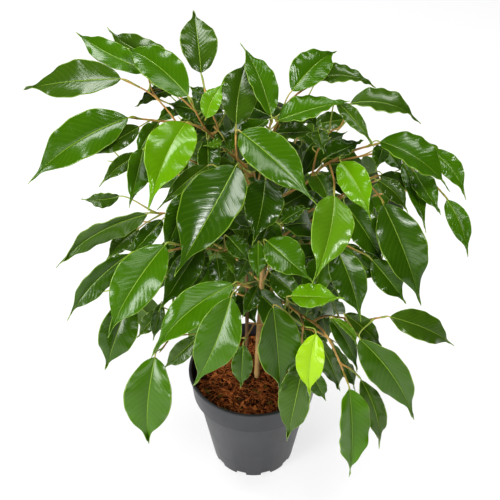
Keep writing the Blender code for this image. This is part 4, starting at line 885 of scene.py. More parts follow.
def crown_radius(direction):
    """Reach of the crown's hidden side in a direction: it stays under the front's top edge."""
    return min(CROWN_RADIUS, BACK_TOP / max(direction.dot(UP), BACK_NEAR_MIDDLE))


def draw_back_twig(row, attempt, draw, trunk):
    """Points of one drawn twig of the hidden side, from the trunk out into the crown."""
    azimuth, elevation = math.radians(row[0]), math.radians(row[1])
    way = on_crown(azimuth + draw.uniform(-BACK_TWIG_STRAY, BACK_TWIG_STRAY),
                   elevation + draw.uniform(-BACK_TWIG_STRAY, BACK_TWIG_STRAY))
    end = CROWN_CENTRE + way * crown_radius(way) * draw.uniform(*BACK_TWIG_REACH)
    arch = Vector((draw.uniform(-BACK_TWIG_SWAY, BACK_TWIG_SWAY),
                   draw.uniform(-BACK_TWIG_SWAY, BACK_TWIG_SWAY),
                   draw.uniform(*BACK_TWIG_ARCH)))
    height = row[2] + BACK_ROOT_STEP * (attempt % BACK_ROOT_STEPS - BACK_ROOT_STEPS // 2)
    root = min(trunk, key=lambda s: abs(s[0].z - height))[0]
    middle = root.lerp(end, BACK_TWIG_KNEE) + arch
    bend = [root.lerp(middle, t).lerp(middle.lerp(end, t), t) for t in BACK_TWIG_BENDS]
    start = leave(trunk, lambda i: (trunk[i][0] - root).length, bend[0], BACK_RADIUS)
    return [start] + bend


def draw_back_blade(name, row, effort, draw):
    """One drawn blade of a hidden-side branch, or None where it would lie outside the crown.

    With more effort, from 0 to 1, it is shorter and strays further from the branch's end.
    """
    azimuth, elevation = math.radians(row[0]), math.radians(row[1])
    length = draw.uniform(*BACK_LEAF_LENGTH) * (1.0 - BACK_SHRINK * effort)
    spread = BACK_SPREAD[0] + (BACK_SPREAD[1] - BACK_SPREAD[0]) * effort
    turn_out = draw.uniform(-spread, spread) / max(math.cos(elevation), BACK_NEAR_TOP)
    here = on_crown(azimuth + turn_out, elevation + draw.uniform(-spread, spread))
    base = CROWN_CENTRE + here * crown_radius(here) * draw.uniform(*BACK_LEAF_REACH)
    down = (DOWN - here * here.dot(DOWN)).normalized()
    heading = Matrix.Rotation(draw.uniform(-BACK_LEAF_TURN, BACK_LEAF_TURN), 3, here) @ down
    tip = base + length * (BACK_LEAF_RUN * heading + draw.uniform(*BACK_LEAF_RISE) * here)
    if (tip - CROWN_CENTRE).length > BACK_OUTERMOST * CROWN_RADIUS or tip.z < BACK_LOWEST:
        return None
    if math.hypot(base.x, base.y) < BACK_CORE and base.z < BACK_CORE_TOP:
        return None
    facing = (here - DOWN * draw.uniform(0.0, BACK_LEAF_UP)).normalized()
    roll = draw.uniform(-BACK_LEAF_ROLL, BACK_LEAF_ROLL)
    bow = draw.uniform(-BACK_LEAF_BOW, BACK_LEAF_BOW) * length
    tone = draw.choice(BACK_TONES)
    return Blade(name, base, tip, facing, BACK_ASPECT * length, roll, bow, tone)


def place_back_branch(index, row, grown, placed, fronts):
    """One branch of the hidden side with its blades, by draws that are tested until clear."""
    name = f"back_{index + 1:02d}"
    draw = random.Random(name)
    for attempt in range(BACK_TWIG_TRIES):
        points = draw_back_twig(row, attempt, draw, grown["trunk"])
        radii = tapered(points, BACK_RADIUS)
        solid = Solid(name, name, *tube_shape(points, [r + TWIG_CLEARANCE for r in radii]))
        if is_clear(solid, placed, ("trunk",)) and hidden_from_front(points[2:], fronts):
            break
    else:
        return None
    placed.append(Solid(name, name, *tube_shape(points, radii)))
    samples = sampled(points, radii)
    blades = []
    joints = []
    for number in range(BACK_LEAVES):
        for attempt in range(BACK_LEAF_TRIES):
            blade = draw_back_blade(f"{name}_{number}", row, attempt / BACK_LEAF_TRIES, draw)
            if blade is None:
                continue
            shape = thicken(*blade.sheet(), BLADE_THICKNESS + 2 * BLADE_CLEARANCE)
            if not is_clear(Solid(name, blade.name, *shape), placed):
                continue
            if not hidden_from_front(blade.sheet()[0], fronts):
                continue
            joint, clear = choose_joint(name, blade, samples, placed)
            if clear and (joint - blade.base).length <= BACK_PETIOLE:
                blades.append(blade)
                joints.append(joint)
                placed.append(Solid(name, blade.name, *thicken(*blade.sheet(), BLADE_THICKNESS)))
                placed.append(Solid(name, name, *strip_shape(joint, blade, BLADE_THICKNESS)))
                break
    return name, [(points, radii)], blades, joints


def bends_sharply(blade, joint):
    """Whether a petiole meets its blade from the side or from ahead."""
    away = (blade.base - joint).normalized()
    across = (blade.point(BROAD, 1.0) - blade.point(BROAD, -1.0)).normalized()
    return abs(away.dot(across)) > SHARP_SIDE or away.dot(blade.along) < SHARP_AHEAD


def inner_radius(z):
    """Radius of the pot's inside at a height."""
    if z >= COLLAR_BOTTOM + WALL:
        share = (z - COLLAR_BOTTOM - WALL) / (COLLAR_HEIGHT - WALL)
        return COLLAR_BOTTOM_RADIUS + (RIM_RADIUS - COLLAR_TAPER - COLLAR_BOTTOM_RADIUS) * share - WALL
    return BASE_RADIUS + (BODY_TOP_RADIUS - BASE_RADIUS) * z / COLLAR_BOTTOM - WALL


def pot_guard():
    """The pot's outside, a little larger, that blades and twigs keep clear of."""
    rings = ((RIM_RADIUS + RIM_CLEARANCE, POT_HEIGHT + RIM_CLEARANCE),
             (BASE_RADIUS + FOOT_CLEARANCE, 0.0))
    turns = [math.tau * step / POT_SIDES for step in range(POT_SIDES)]
    points = [Vector((r * math.cos(a), r * math.sin(a), z)) for r, z in rings for a in turns]
    walls = [(i, (i + 1) % POT_SIDES, POT_SIDES + (i + 1) % POT_SIDES, POT_SIDES + i)
             for i in range(POT_SIDES)]
    return Solid("pot", "pot", points, walls)


# The finished surfaces, in metres, shares or turns. Leaves: rows and columns of their faces,
# thickness, where the blade starts and ends along its midrib, how its halves are rounded, and
# how its edge and its surface rise and fall.
LEAF_ROWS = 40
LEAF_COLUMNS = (0.0, 0.05, 0.15, 0.30, 0.48, 0.66, 0.82, 0.94, 1.0)
LEAF_SKIN = 0.0005
LEAF_FIRST, LEAF_LAST = 0.0015, 0.999
EVEN_ROWS, EASED_ROWS = 0.6, 0.4
LEAF_SMOOTH = math.radians(80.0)
TO_CM = 100.0
DOME = 0.055
DOME_FULLNESS = 0.8
EDGE_WAVE = 0.0008
EDGE_WAVES = 5.3
RELIEF = 0.00034
RELIEF_SCALE = 75.0
RELIEF_REACH = 3.0
# Twigs and stems: length of a step along them, and how knots and wobbles thicken them
FINE_STEP = 0.0016
TWIG_SIDES = 8
TWIG_SLIM = 0.64
ROOT_FLARE = 1.15
TWIG_KNOT = 0.25
TWIG_KNOT_GAP = 0.012
TWIG_KNOT_SHARPNESS = 16
STEM_SIDES = 16
STEM_KNOT = 0.10
STEM_KNOT_GAP = 0.021
STEM_KNOT_SHARPNESS = 20
STEM_WOBBLE = 0.06
STEM_WOBBLE_SCALE = 60.0
# Buds at the twigs' ends: length, and thicknesses as shares of the twig's
BUD_LENGTH = 0.008
BUD_RADII = (0.9, 1.05, 0.7)
BUD_TIP = 0.0001
# Petioles: radii at the twig, on the way and at the blade, how they curve, and how they end
# under the midrib
PETIOLE_SIDES = 6
PETIOLE_RADII = (0.00085, 0.00050, 0.00055)
PETIOLE_STEPS = 9
PETIOLE_THINNING = 2.5
PETIOLE_OUT = 0.35
PETIOLE_MEET = 0.4
PETIOLE_MEET_MOST = 0.008
PETIOLE_UNDER = (0.02, 0.06, 0.12)
PETIOLE_SUNK = 0.0003
PETIOLE_END = (1.0, 0.8, 0.4)
# Small leaves inside the crown, and those that fill see-through places, with the weights of
# the directions that they take and the limits between which they are drawn
INNER_ROWS = 24
INNER_COLUMNS = (0.0, 0.08, 0.28, 0.52, 0.76, 0.93, 1.0)
INNER_LEAVES = 170
INNER_TRIES = 7000
INNER_LENGTH = (0.036, 0.066)
INNER_PETIOLE = (0.007, 0.013)
INNER_REACH = (0.18, 0.86)
INNER_SKIN = 0.0016
INNER_TONES = ("deep", "deep", "dark", "mid", "deep", "dark", "fresh")
INNER_DROP = 0.7
INNER_OUT = 0.5
INNER_SAG = 0.35
INNER_ASIDE = 0.6
INNER_UP = (0.2, 1.2)
INNER_STRAY = 0.5
INNER_ROLL_DEGREES = 25.0
INNER_ASPECT = 0.23
INNER_BOW = 0.04
INNER_ABOVE = 0.03
INNER_OUTERMOST = 0.93
INNER_RANK = 3
FILL_LEAVES = 60
FILL_TRIES = 9000
FILL_LENGTH = (0.030, 0.060)
FILL_TURN = 1.1
FILL_BEHIND = (-0.010, 0.045)
FILL_PETIOLE = 0.050
FILL_SKIN = 0.0010
FILL_LEAN = 0.5
FILL_SHARE = (0.3, 0.7)
FILL_NEAREST = 0.004
# Painted shade and painted light on leaves by height: the heights of the darkest and the lightest, and
# how far a leaf strays from them at random
SHADE_TOP = 0.42
SHADE_BOTTOM = 0.12
TINT_SPREAD = 0.15
# The pot's roundness, its small arcs and the edges of its notches
POT_STEPS = 144
POT_SMOOTH = math.radians(35.0)
ON_AXIS = 1e-6
FILLET = 0.0005
FILLET_MOST = 0.4
FILLET_STEPS = (0.0, 0.25, 0.5, 0.75, 1.0)
NOTCH_BEVEL = 0.0012
# Loose soil: how it rises and falls, its flakes, the room that they keep in shares of their size, and
# the kinds of flake in hollows, mostly dark ones as painted shade, and on heaps
SOIL_RISE = 0.0006
SOIL_MOUND = 0.0022
SOIL_HEAP = 0.0016
MOUND_SCALE = 55.0
HEAP_SCALE = 130.0
SOIL_EDGE = 0.0012
FLAKES = 1500
FLAKE_SIZES = (0.0007, 0.0010, 0.0013, 0.0018, 0.0026)
FLAKE_LENGTH = (0.9, 2.2)
FLAKE_WIDTH = (0.4, 0.9)
FLAKE_HEIGHT = (0.2, 0.45)
FLAKE_JITTER = (0.7, 1.25)
FLAKE_WALL_ROOM = 1.5
FLAKE_STEM_ROOM = 1.3
FLAKE_LIFT = (-0.2, 0.6)
FLAKE_TILT = 0.6
FLAKE_SMOOTH = math.radians(35.0)
HOLLOW = 0.15
HOLLOW_SHADE_KINDS = (2, 2, 0, 2)
HIGH_KINDS = (0, 0, 1, 1, 1, 2, 3)
# Short and long fibres on the soil: how many are long, how they curl and bend at each step, how
# high their middles rise, and the room that they keep
FIBRES = 900
LONG_SHARE = 0.16
LONG_FIBRE = (0.016, 0.038)
SHORT_FIBRE = (0.003, 0.014)
LONG_THICKNESS = (0.00018, 0.00032)
SHORT_THICKNESS = (0.00010, 0.00022)
LONG_STEPS, SHORT_STEPS = 10, 6
LONG_RISE = (0.0006, 0.0040)
SHORT_RISE = (0.0003, 0.0016)
FIBRE_CURL = 0.35
FIBRE_BEND = 0.25
FIBRE_LIFT = 0.0004
FIBRE_WALL_ROOM = 0.0006
FIBRE_STEM_ROOM = 0.0004
FIBRE_SIDES = 4
FIBRE_KINDS = (0, 0, 1)
# The studio: floor, camera and where its lights point
FLOOR_SIZE = 4.0
PICTURE = 500.0
SENSOR = 36.0
NEAR_CLIP = 0.01
LIGHT_AIM = Vector((0.0, 0.0, 0.25))
# Soft lights: name, compass angle with +X at 0 and the back at 90, angle above the horizontal,
# distance, width and height, power
LIGHTS = (
    ("key", 138.0, 50.0, 1.50, (0.62, 0.70), 12.0),
    ("front_left", 221.0, 16.0, 1.50, (0.50, 0.80), 14.5),
    ("front", 276.0, 14.0, 1.70, (1.20, 0.36), 5.0),
    ("front_top", 286.0, 58.0, 1.50, (0.34, 0.34), 9.0),
    ("top", 60.0, 72.0, 1.40, (0.50, 0.36), 3.0),
    ("right", 18.0, 60.0, 1.50, (0.34, 0.34), 4.0),
)
WORLD_STRENGTH = 0.06


class Shape:
    """Points and faces of a piece as it grows, with the number of each face's material."""

    def __init__(self):
        self.points = []
        self.faces = []
        self.kinds = []

    def add(self, points, faces, kind):
        first = len(self.points)
        self.points += points
        self.faces += [tuple(first + corner for corner in face) for face in faces]
        self.kinds += [kind] * len(faces)

    def bar(self, points, radii, sides, kind):
        """A round bar along a path, closed at both ends."""
        along = (points[1] - points[0]).normalized()
        side = along.orthogonal().normalized()
        ring = []
        for index, point in enumerate(points):
            before = points[max(index - 1, 0)]
            after = points[min(index + 1, len(points) - 1)]
            along = (after - before).normalized()
            side = (side - along * side.dot(along)).normalized()
            other = along.cross(side)
            for step in range(sides):
                angle = math.tau * step / sides
                turn = side * math.cos(angle) + other * math.sin(angle)
                ring.append(point + turn * radii[index])
        faces = [tuple(reversed(range(sides)))]
        for row in range(len(points) - 1):
            for step in range(sides):
                a = sides * row + step
                b = sides * row + (step + 1) % sides
                faces.append((a, b, b + sides, a + sides))
        last = sides * (len(points) - 1)
        faces.append(tuple(range(last, last + sides)))
        self.add(ring, faces, kind)

    def made(self, name, materials, smooth=math.radians(50.0)):
        """The piece as an object, riding on the root."""
        mesh = bpy.data.meshes.new(name)
        mesh.from_pydata([tuple(p) for p in self.points], [], self.faces)
        for item in materials:
            mesh.materials.append(item)
        mesh.polygons.foreach_set("material_index", self.kinds)
        mesh.shade_smooth()
        mesh.set_sharp_from_angle(angle=smooth)
        mesh.update()
        made = bpy.data.objects.new(name, mesh)
        bpy.context.scene.collection.objects.link(made)
        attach(made, "root")
        return made


def catmull(points, radii):
    """A smooth path through points, in short steps, with its radii."""
    ends = [2 * points[0] - points[1]] + list(points) + [2 * points[-1] - points[-2]]
    path = []
    thick = []
    for index in range(len(points) - 1):
        a, b, c, d = ends[index:index + 4]
        count = max(2, round((c - b).length / FINE_STEP))
        for part in range(count):
            t = part / count
            path.append(0.5 * (2 * b + (c - a) * t + (2 * a - 5 * b + 4 * c - d) * t * t
                               + (3 * b - 3 * c + d - a) * t ** 3))
            thick.append(radii[index] * (1 - t) + radii[index + 1] * t)
    path.append(points[-1].copy())
    thick.append(radii[-1])
    return path, thick


def nearest(routes, point):
    """Point of some finished paths that lies nearest to a point."""
    return min((p for path in routes for p in path), key=lambda p: (p - point).length_squared)


def fine_point(blade, s, v):
    """Point of a blade's finished surface: its form, with rounded halves and a finer edge."""
    middle, side, rise, width, fade = blade.section(s)
    across = abs(v)
    phase = blade.phase(v)
    lift = width * math.sin(FOLD) * across
    lift += width * DOME * math.sin(math.pi * across ** DOME_FULLNESS)
    lift += blade.wave * v * v * math.sin(math.tau * (WAVES * s + phase)) * fade
    ripple = math.sin(math.tau * (EDGE_WAVES * s + 2.0 * phase))
    lift += EDGE_WAVE * across ** 3 * ripple * fade
    spot = Vector((s * blade.length, v * width, blade.phases[0])) * RELIEF_SCALE
    lift += RELIEF * noise.noise(spot) * min(1.0, RELIEF_REACH * across) * fade
    return middle + side * (width * math.cos(FOLD) * v) + rise * lift


def painted_height_shade(blade):
    """How light a leaf is painted, from 0 to 1: painted shade makes the highest ones the darkest and
    painted light makes the lowest the lightest, with a random spread.
    """
    height = blade.base.z + 0.5 * blade.chord.z
    drop = (SHADE_TOP - height) / (SHADE_TOP - SHADE_BOTTOM)
    spread = random.Random("tint " + blade.name).uniform(-TINT_SPREAD, TINT_SPREAD)
    return min(max(drop + spread, 0.0), 1.0)


def leaves_piece(name, blades, materials):
    """All blades of one branch, with coordinates along and across each for its veins."""
    tones = sorted({blade.tone for blade in blades})
    shape = Shape()
    places = []
    sizes = []
    shade_tints = []
    for blade in blades:
        # tint: painted shade by height, darker high up and lighter low down, with a random spread
        tint = painted_height_shade(blade)
        inner = blade.name.startswith("inner leaf")
        rows = INNER_ROWS if inner else LEAF_ROWS
        half = INNER_COLUMNS if inner else LEAF_COLUMNS
        columns = [-v for v in reversed(half[1:])] + list(half)
        wide = len(columns)
        points = []
        for row in range(rows + 1):
            even = row / rows
            eased = 0.5 - 0.5 * math.cos(math.pi * even)
            mixed = EVEN_ROWS * even + EASED_ROWS * eased
            s = LEAF_FIRST + (LEAF_LAST - LEAF_FIRST) * mixed
            for v in columns:
                points.append(fine_point(blade, s, v))
                places.append((0.5 + 0.5 * v, s))
                across = v * blade.half_width * outline(s)
                sizes.append((TO_CM * across, TO_CM * s * blade.length))
                shade_tints.append(tint)
        faces = []
        for row in range(rows):
            for column in range(wide - 1):
                a = wide * row + column
                faces.append((a, a + wide, a + wide + 1, a + 1))
        shape.add(points, faces, 2 * tones.index(blade.tone))
    slots = [materials[key] for tone in tones for key in (tone, "under_" + tone)]
    made = shape.made(name, slots, LEAF_SMOOTH)
    mesh = made.data
    corners = [loop.vertex_index for loop in mesh.loops]
    for layer_name, values in (("leaf", places), ("size", sizes)):
        layer = mesh.uv_layers.new(name=layer_name)
        layer.data.foreach_set("uv", [n for corner in corners for n in values[corner]])
    # Each point keeps its leaf's painted shade by height
    tint_layer = mesh.attributes.new("tint", "FLOAT", "POINT")
    tint_layer.data.foreach_set("value", shade_tints)
    skin = made.modifiers.new("skin", "SOLIDIFY")
    skin.thickness = LEAF_SKIN
    skin.offset = 0.0
    skin.material_offset = 1
    skin.material_offset_rim = 0
    return made


def petiole_path(joint, blade):
    """Path of a petiole from its twig to just under the start of the blade's midrib."""
    base = fine_point(blade, 0.0, 0.0)
    span = (base - joint).length
    out = joint.lerp(base, PETIOLE_OUT)
    meet = base - blade.along * min(PETIOLE_MEET * span, PETIOLE_MEET_MOST)
    path = []
    for step in range(PETIOLE_STEPS):
        t = step / (PETIOLE_STEPS - 1)
        u = 1.0 - t
        path.append(u ** 3 * joint + 3 * u * u * t * out + 3 * u * t * t * meet + t ** 3 * base)
    for s in PETIOLE_UNDER:
        path.append(fine_point(blade, s, 0.0) - blade.normal * PETIOLE_SUNK)
    first, thin, last = PETIOLE_RADII
    radii = [first + (thin - first) * min(1.0, PETIOLE_THINNING * step / PETIOLE_STEPS)
             for step in range(PETIOLE_STEPS)]
    return path, radii + [share * last for share in PETIOLE_END]


def twigs_piece(branch, materials, routes):
    """A branch's twigs and petioles, smooth and round, rooted in the bar they grow from."""
    name = branch["name"]
    shape = Shape()
    mine = []
    for index, (points, radii) in enumerate(branch["twigs"]):
        if index == 0:
            root = nearest(routes[branch["parent"]], points[0])
            points = [root] + list(points)
            radii = [ROOT_FLARE * radii[0]] + list(radii)
        else:
            points = [nearest(mine, points[0])] + list(points[1:])
        path, thick = catmull(points, radii)
        draw = random.Random(f"knots {name} {index}")
        phase = draw.random()
        for step in range(len(thick)):
            turn = math.pi * (step * FINE_STEP / TWIG_KNOT_GAP + phase)
            thick[step] *= TWIG_SLIM * (1.0 + TWIG_KNOT * math.sin(turn) ** TWIG_KNOT_SHARPNESS)
        ahead = (path[-1] - path[-3]).normalized()
        bud = [path[-2], path[-1], path[-1] + ahead * 0.5 * BUD_LENGTH, path[-1] + ahead * BUD_LENGTH]
        mine.append(list(path))
        shape.bar(path, thick, TWIG_SIDES, 0)
        shape.bar(bud, [thick[-1] * share for share in BUD_RADII] + [BUD_TIP], TWIG_SIDES, 1)
    for blade, joint in zip(branch["blades"], branch["joints"]):
        path, radii = petiole_path(nearest(mine, joint), blade)
        shape.bar(path, radii, PETIOLE_SIDES, 1)
    routes[name] = mine
    return shape.made("twigs_" + name, [materials["bark_twig"], materials["petiole"]])


class Graph:
    """Short words for building a material's nodes."""

    def __init__(self, name):
        self.material = bpy.data.materials.new(name)
        self.material.use_nodes = True
        self.nodes = self.material.node_tree.nodes
        self.links = self.material.node_tree.links
        self.shader = self.nodes["Principled BSDF"]

    def put(self, value, socket):
        if isinstance(value, bpy.types.NodeSocket):
            self.links.new(value, socket)
        elif value is not None:
            socket.default_value = value

    def node(self, kind, inputs=(), out=0, **settings):
        """A node with settings on itself and values or links for its inputs."""
        made = self.nodes.new(kind)
        for key, value in settings.items():
            setattr(made, key, value)
        for key, value in dict(inputs).items():
            self.put(value, made.inputs[key])
        return made.outputs[out]

    def maths(self, operation, a, b=None, c=None):
        made = self.nodes.new("ShaderNodeMath")
        made.operation = operation
        for socket, value in zip(made.inputs, (a, b, c)):
            self.put(value, socket)
        return made.outputs[0]

    def ramp(self, value, low, high, start=0.0, end=1.0):
        """Smooth step of a value from low to high, between start and end."""
        made = self.nodes.new("ShaderNodeMapRange")
        made.interpolation_type = "SMOOTHSTEP"
        for key, number in zip(("Value", "From Min", "From Max", "To Min", "To Max"),
                               (value, low, high, start, end)):
            self.put(number, made.inputs[key])
        return made.outputs[0]

    def mix(self, share, a, b, blend="MIX"):
        made = self.nodes.new("ShaderNodeMix")
        made.data_type = "RGBA"
        made.blend_type = blend
        self.put(share, made.inputs[0])
        self.put(a, made.inputs[6])
        self.put(b, made.inputs[7])
        return made.outputs[2]

    def noise(self, scale, detail=2.0, rough=0.5, vector=None):
        return self.node("ShaderNodeTexNoise",
                         {"Scale": scale, "Detail": detail, "Roughness": rough, "Vector": vector})

    def spot(self):
        """Position in the object's own metres."""
        return self.node("ShaderNodeTexCoord", out=3)

    def bump(self, height, distance, strength=1.0):
        made = self.nodes.new("ShaderNodeBump")
        made.inputs["Distance"].default_value = distance
        made.inputs["Strength"].default_value = strength
        self.put(height, made.inputs["Height"])
        self.put(made.outputs[0], self.shader.inputs["Normal"])

    def finish(self, colour, roughness, **constants):
        self.put(colour, self.shader.inputs["Base Color"])
        self.put(roughness, self.shader.inputs["Roughness"])
        for key, value in constants.items():
            self.shader.inputs[key.replace("_", " ")].default_value = value
        return self.material


def shade(colour, factor):
    return (colour[0] * factor, colour[1] * factor, colour[2] * factor, 1.0)


# Each tone of the upper side: its dark and its light end, between which a leaf's painted shade by height
# and a patchy tone choose
LEAF_LOOKS = {
    "deep": ((0.017, 0.052, 0.0010), (0.060, 0.148, 0.0014)),
    "dark": ((0.038, 0.088, 0.0040), (0.058, 0.122, 0.0060)),
    "mid": ((0.034, 0.095, 0.0010), (0.073, 0.188, 0.0014)),
    "fresh": ((0.037, 0.105, 0.0010), (0.086, 0.222, 0.0014)),
    "bright": ((0.098, 0.238, 0.0010), (0.156, 0.345, 0.0014)),
    "lime": ((0.270, 0.480, 0.0020), (0.350, 0.580, 0.0030)),
    "light": ((0.088, 0.200, 0.0050), (0.132, 0.270, 0.0100)),
}
VEIN_COLOUR = (0.34, 0.50, 0.06, 1.0)
UNDER_COLOUR = (0.11, 0.18, 0.05, 1.0)
# The midrib: half-width in centimetres at the base, what is taken off towards the tip, and
# where it fades out, in shares of that half-width
MIDRIB_HALF = 0.054
MIDRIB_TAPER = -0.036
MIDRIB_FADE = (0.45, 1.25)
# Side veins and the pale edge, across the blade in shares of its half-width
VEINS = 16.0
VEIN_SWEEP = 3.0
VEIN_CURVE = 1.25
VEIN_SWAY = 1.1
VEIN_SHARPNESS = 6.0
SMALL_VEIN_SHARPNESS = 8.0
VEIN_END = (0.80, 0.97)
PALE_EDGE = (0.945, 0.985)
# How much of a leaf's painted shade by height, with its random spread, and of a patchy tone it has, and
# how far veins, midrib, edge and the underside are mixed towards their own colours
SHADE_TINT_SHARE, PATCH_SHARE = 0.55, 0.45
VEIN_TONE = 0.035
MIDRIB_TONE = 0.55
EDGE_TONE = 0.45
UNDER_TONE = 0.5
# The relief of the surface, in shares of LEAF_BUMP: midrib and veins lie in grooves
LEAF_BUMP = 0.00010
MIDRIB_RELIEF = -1.2
VEIN_RELIEF = -0.56
SMALL_VEIN_RELIEF = -0.26
GRAIN_RELIEF, GRAIN_SCALE = 0.12, 900.0
QUILT_RELIEF, QUILT_SCALE = 0.35, 400.0
BROAD_RELIEF, BROAD_SCALE = 1.2, 130.0
LEAF_GLOSS = (0.15, 0.22)
LEAF_SHEEN = 0.40
UNDER_GLOSS = 0.55
UNDER_SHEEN = 0.3


def leaf_material(tone, under):
    """Glossy blade with a pale midrib, fine side veins, and a thin pale edge."""
    low, high = LEAF_LOOKS[tone]
    graph = Graph(("under_" if under else "leaf_") + tone)
    place = graph.node("ShaderNodeUVMap", uv_map="leaf")
    size = graph.node("ShaderNodeUVMap", uv_map="size")
    place = graph.node("ShaderNodeSeparateXYZ", {"Vector": place}).node
    size = graph.node("ShaderNodeSeparateXYZ", {"Vector": size}).node
    along = place.outputs[1]
    across = graph.maths("ABSOLUTE", graph.maths("MULTIPLY_ADD", place.outputs[0], 2.0, -1.0))
    real = graph.maths("ABSOLUTE", size.outputs[0])
    thin = graph.maths("MULTIPLY_ADD", along, MIDRIB_TAPER, MIDRIB_HALF)
    midrib = graph.ramp(graph.maths("DIVIDE", real, thin), *MIDRIB_FADE, 1.0, 0.0)
    spot = graph.spot()
    sway = graph.maths("MULTIPLY", graph.noise(45.0, 2.0, 0.5, spot), VEIN_SWAY)
    count = graph.maths("MULTIPLY_ADD", along, VEINS, sway)
    slant = graph.maths("MULTIPLY", graph.maths("POWER", across, VEIN_CURVE), -VEIN_SWEEP)
    order = graph.maths("MULTIPLY", graph.maths("ADD", count, slant), math.tau)
    inside = graph.ramp(across, *VEIN_END, 1.0, 0.0)
    wave = graph.maths("MULTIPLY_ADD", graph.maths("COSINE", order), 0.5, 0.5)
    vein = graph.maths("MULTIPLY", graph.maths("POWER", wave, VEIN_SHARPNESS), inside)
    wave = graph.maths("COSINE", graph.maths("MULTIPLY_ADD", order, 2.0, math.pi))
    wave = graph.maths("MULTIPLY_ADD", wave, 0.5, 0.5)
    small = graph.maths("MULTIPLY", graph.maths("POWER", wave, SMALL_VEIN_SHARPNESS), inside)
    edge = graph.ramp(across, *PALE_EDGE)
    # The tint attribute is painted shade by height: high leaves darker, low ones lighter, plus a random
    # spread
    tint = graph.node("ShaderNodeAttribute", attribute_name="tint", out=2)
    patch = graph.noise(22.0, 3.0, 0.55, spot)
    blend = graph.maths("MULTIPLY", patch, PATCH_SHARE)
    blend = graph.maths("MULTIPLY_ADD", tint, SHADE_TINT_SHARE, blend)
    colour = graph.mix(blend, shade(low, 1.0), shade(high, 1.0))
    if under:
        colour = graph.mix(UNDER_TONE, colour, UNDER_COLOUR)
    for share, tone_share in ((vein, VEIN_TONE), (midrib, MIDRIB_TONE), (edge, EDGE_TONE)):
        colour = graph.mix(graph.maths("MULTIPLY", share, tone_share), colour, VEIN_COLOUR)
    lively = graph.ramp(graph.noise(55.0, 1.0, 0.5, spot), 0.35, 0.65, 0.25, 1.4)
    relief = graph.maths("MULTIPLY", vein, lively)
    height = graph.maths("MULTIPLY", small, SMALL_VEIN_RELIEF)
    height = graph.maths("MULTIPLY_ADD", relief, VEIN_RELIEF, height)
    height = graph.maths("MULTIPLY_ADD", midrib, MIDRIB_RELIEF, height)
    grain = graph.noise(GRAIN_SCALE, 2.0, 0.5, spot)
    quilt = graph.noise(QUILT_SCALE, 1.0, 0.5, spot)
    broad = graph.noise(BROAD_SCALE, 1.0, 0.4, spot)
    for bumps, share in ((grain, GRAIN_RELIEF), (quilt, QUILT_RELIEF), (broad, BROAD_RELIEF)):
        height = graph.maths("MULTIPLY_ADD", bumps, share, height)
    graph.bump(height, -LEAF_BUMP if under else LEAF_BUMP)
    if under:
        return graph.finish(colour, UNDER_GLOSS, Specular_IOR_Level=UNDER_SHEEN)
    roughness = graph.ramp(patch, 0.3, 0.7, *LEAF_GLOSS)
    return graph.finish(colour, roughness, Specular_IOR_Level=LEAF_SHEEN)


def bark_material(name, low, high, scale):
    """Thin smooth bark with fine streaks and pale flecks."""
    graph = Graph(name)
    spot = graph.spot()
    patch = graph.noise(scale, 4.0, 0.6, spot)
    colour = graph.mix(graph.ramp(patch, 0.3, 0.7), shade(low, 1.0), shade(high, 1.0))
    fleck = graph.ramp(graph.noise(1500.0, 1.0, 0.5, spot), 0.62, 0.70)
    colour = graph.mix(graph.maths("MULTIPLY", fleck, 0.5), colour, shade(high, 1.5))
    graph.bump(graph.noise(700.0, 3.0, 0.6, spot), 0.00012)
    return graph.finish(colour, 0.62, Specular_IOR_Level=0.3)


def petiole_material():
    graph = Graph("petiole")
    patch = graph.noise(40.0, 2.0, 0.5, graph.spot())
    colour = graph.mix(graph.ramp(patch, 0.35, 0.65), (0.36, 0.30, 0.06, 1.0),
                       (0.30, 0.40, 0.06, 1.0))
    graph.bump(graph.noise(600.0, 1.0, 0.5, graph.spot()), 0.00006)
    return graph.finish(colour, 0.45)


def crumb_material(name, low, high):
    """One of the colours of coir and bark."""
    graph = Graph(name)
    spot = graph.spot()
    patch = graph.noise(260.0, 3.0, 0.6, spot)
    colour = graph.mix(graph.ramp(patch, 0.35, 0.65), shade(low, 1.0), shade(high, 1.0))
    graph.bump(graph.noise(1200.0, 3.0, 0.6, spot), 0.0003)
    return graph.finish(colour, 0.9, Specular_IOR_Level=0.12)


def pot_material():
    """Moulded plastic: satin, with a faint grain and soft scuffs."""
    graph = Graph("pot_plastic_fine")
    spot = graph.spot()
    patch = graph.noise(30.0, 4.0, 0.6, spot)
    colour = graph.mix(graph.ramp(patch, 0.35, 0.65), (0.026, 0.027, 0.031, 1.0),
                       (0.033, 0.034, 0.038, 1.0))
    roughness = graph.ramp(graph.noise(18.0, 3.0, 0.6, spot), 0.35, 0.65, 0.38, 0.46)
    graph.bump(graph.noise(1400.0, 2.0, 0.5, spot), 0.00003)
    return graph.finish(colour, roughness, Specular_IOR_Level=0.58)


def floor_material():
    graph = Graph("floor")
    tone = graph.noise(3.0, 2.0, 0.5, graph.spot())
    colour = graph.mix(tone, (0.33, 0.33, 0.33, 1.0), (0.35, 0.35, 0.35, 1.0))
    return graph.finish(colour, 0.9, Specular_IOR_Level=0.1, Emission_Strength=0.59,
                        Emission_Color=(1.0, 1.0, 1.0, 1.0))


def rounded(profile, radius):
    """A profile with each inner corner replaced by a small arc."""
    result = [profile[0]]
    for index in range(1, len(profile) - 1):
        before, corner, after = (Vector(profile[i]) for i in (index - 1, index, index + 1))
        back = before - corner
        on = after - corner
        reach = min(radius, FILLET_MOST * back.length, FILLET_MOST * on.length)
        start = corner + back.normalized() * reach
        end = corner + on.normalized() * reach
        for t in FILLET_STEPS:
            point = start.lerp(corner, t).lerp(corner.lerp(end, t), t)
            result.append((point.x, point.y))
    result.append(profile[-1])
    return result


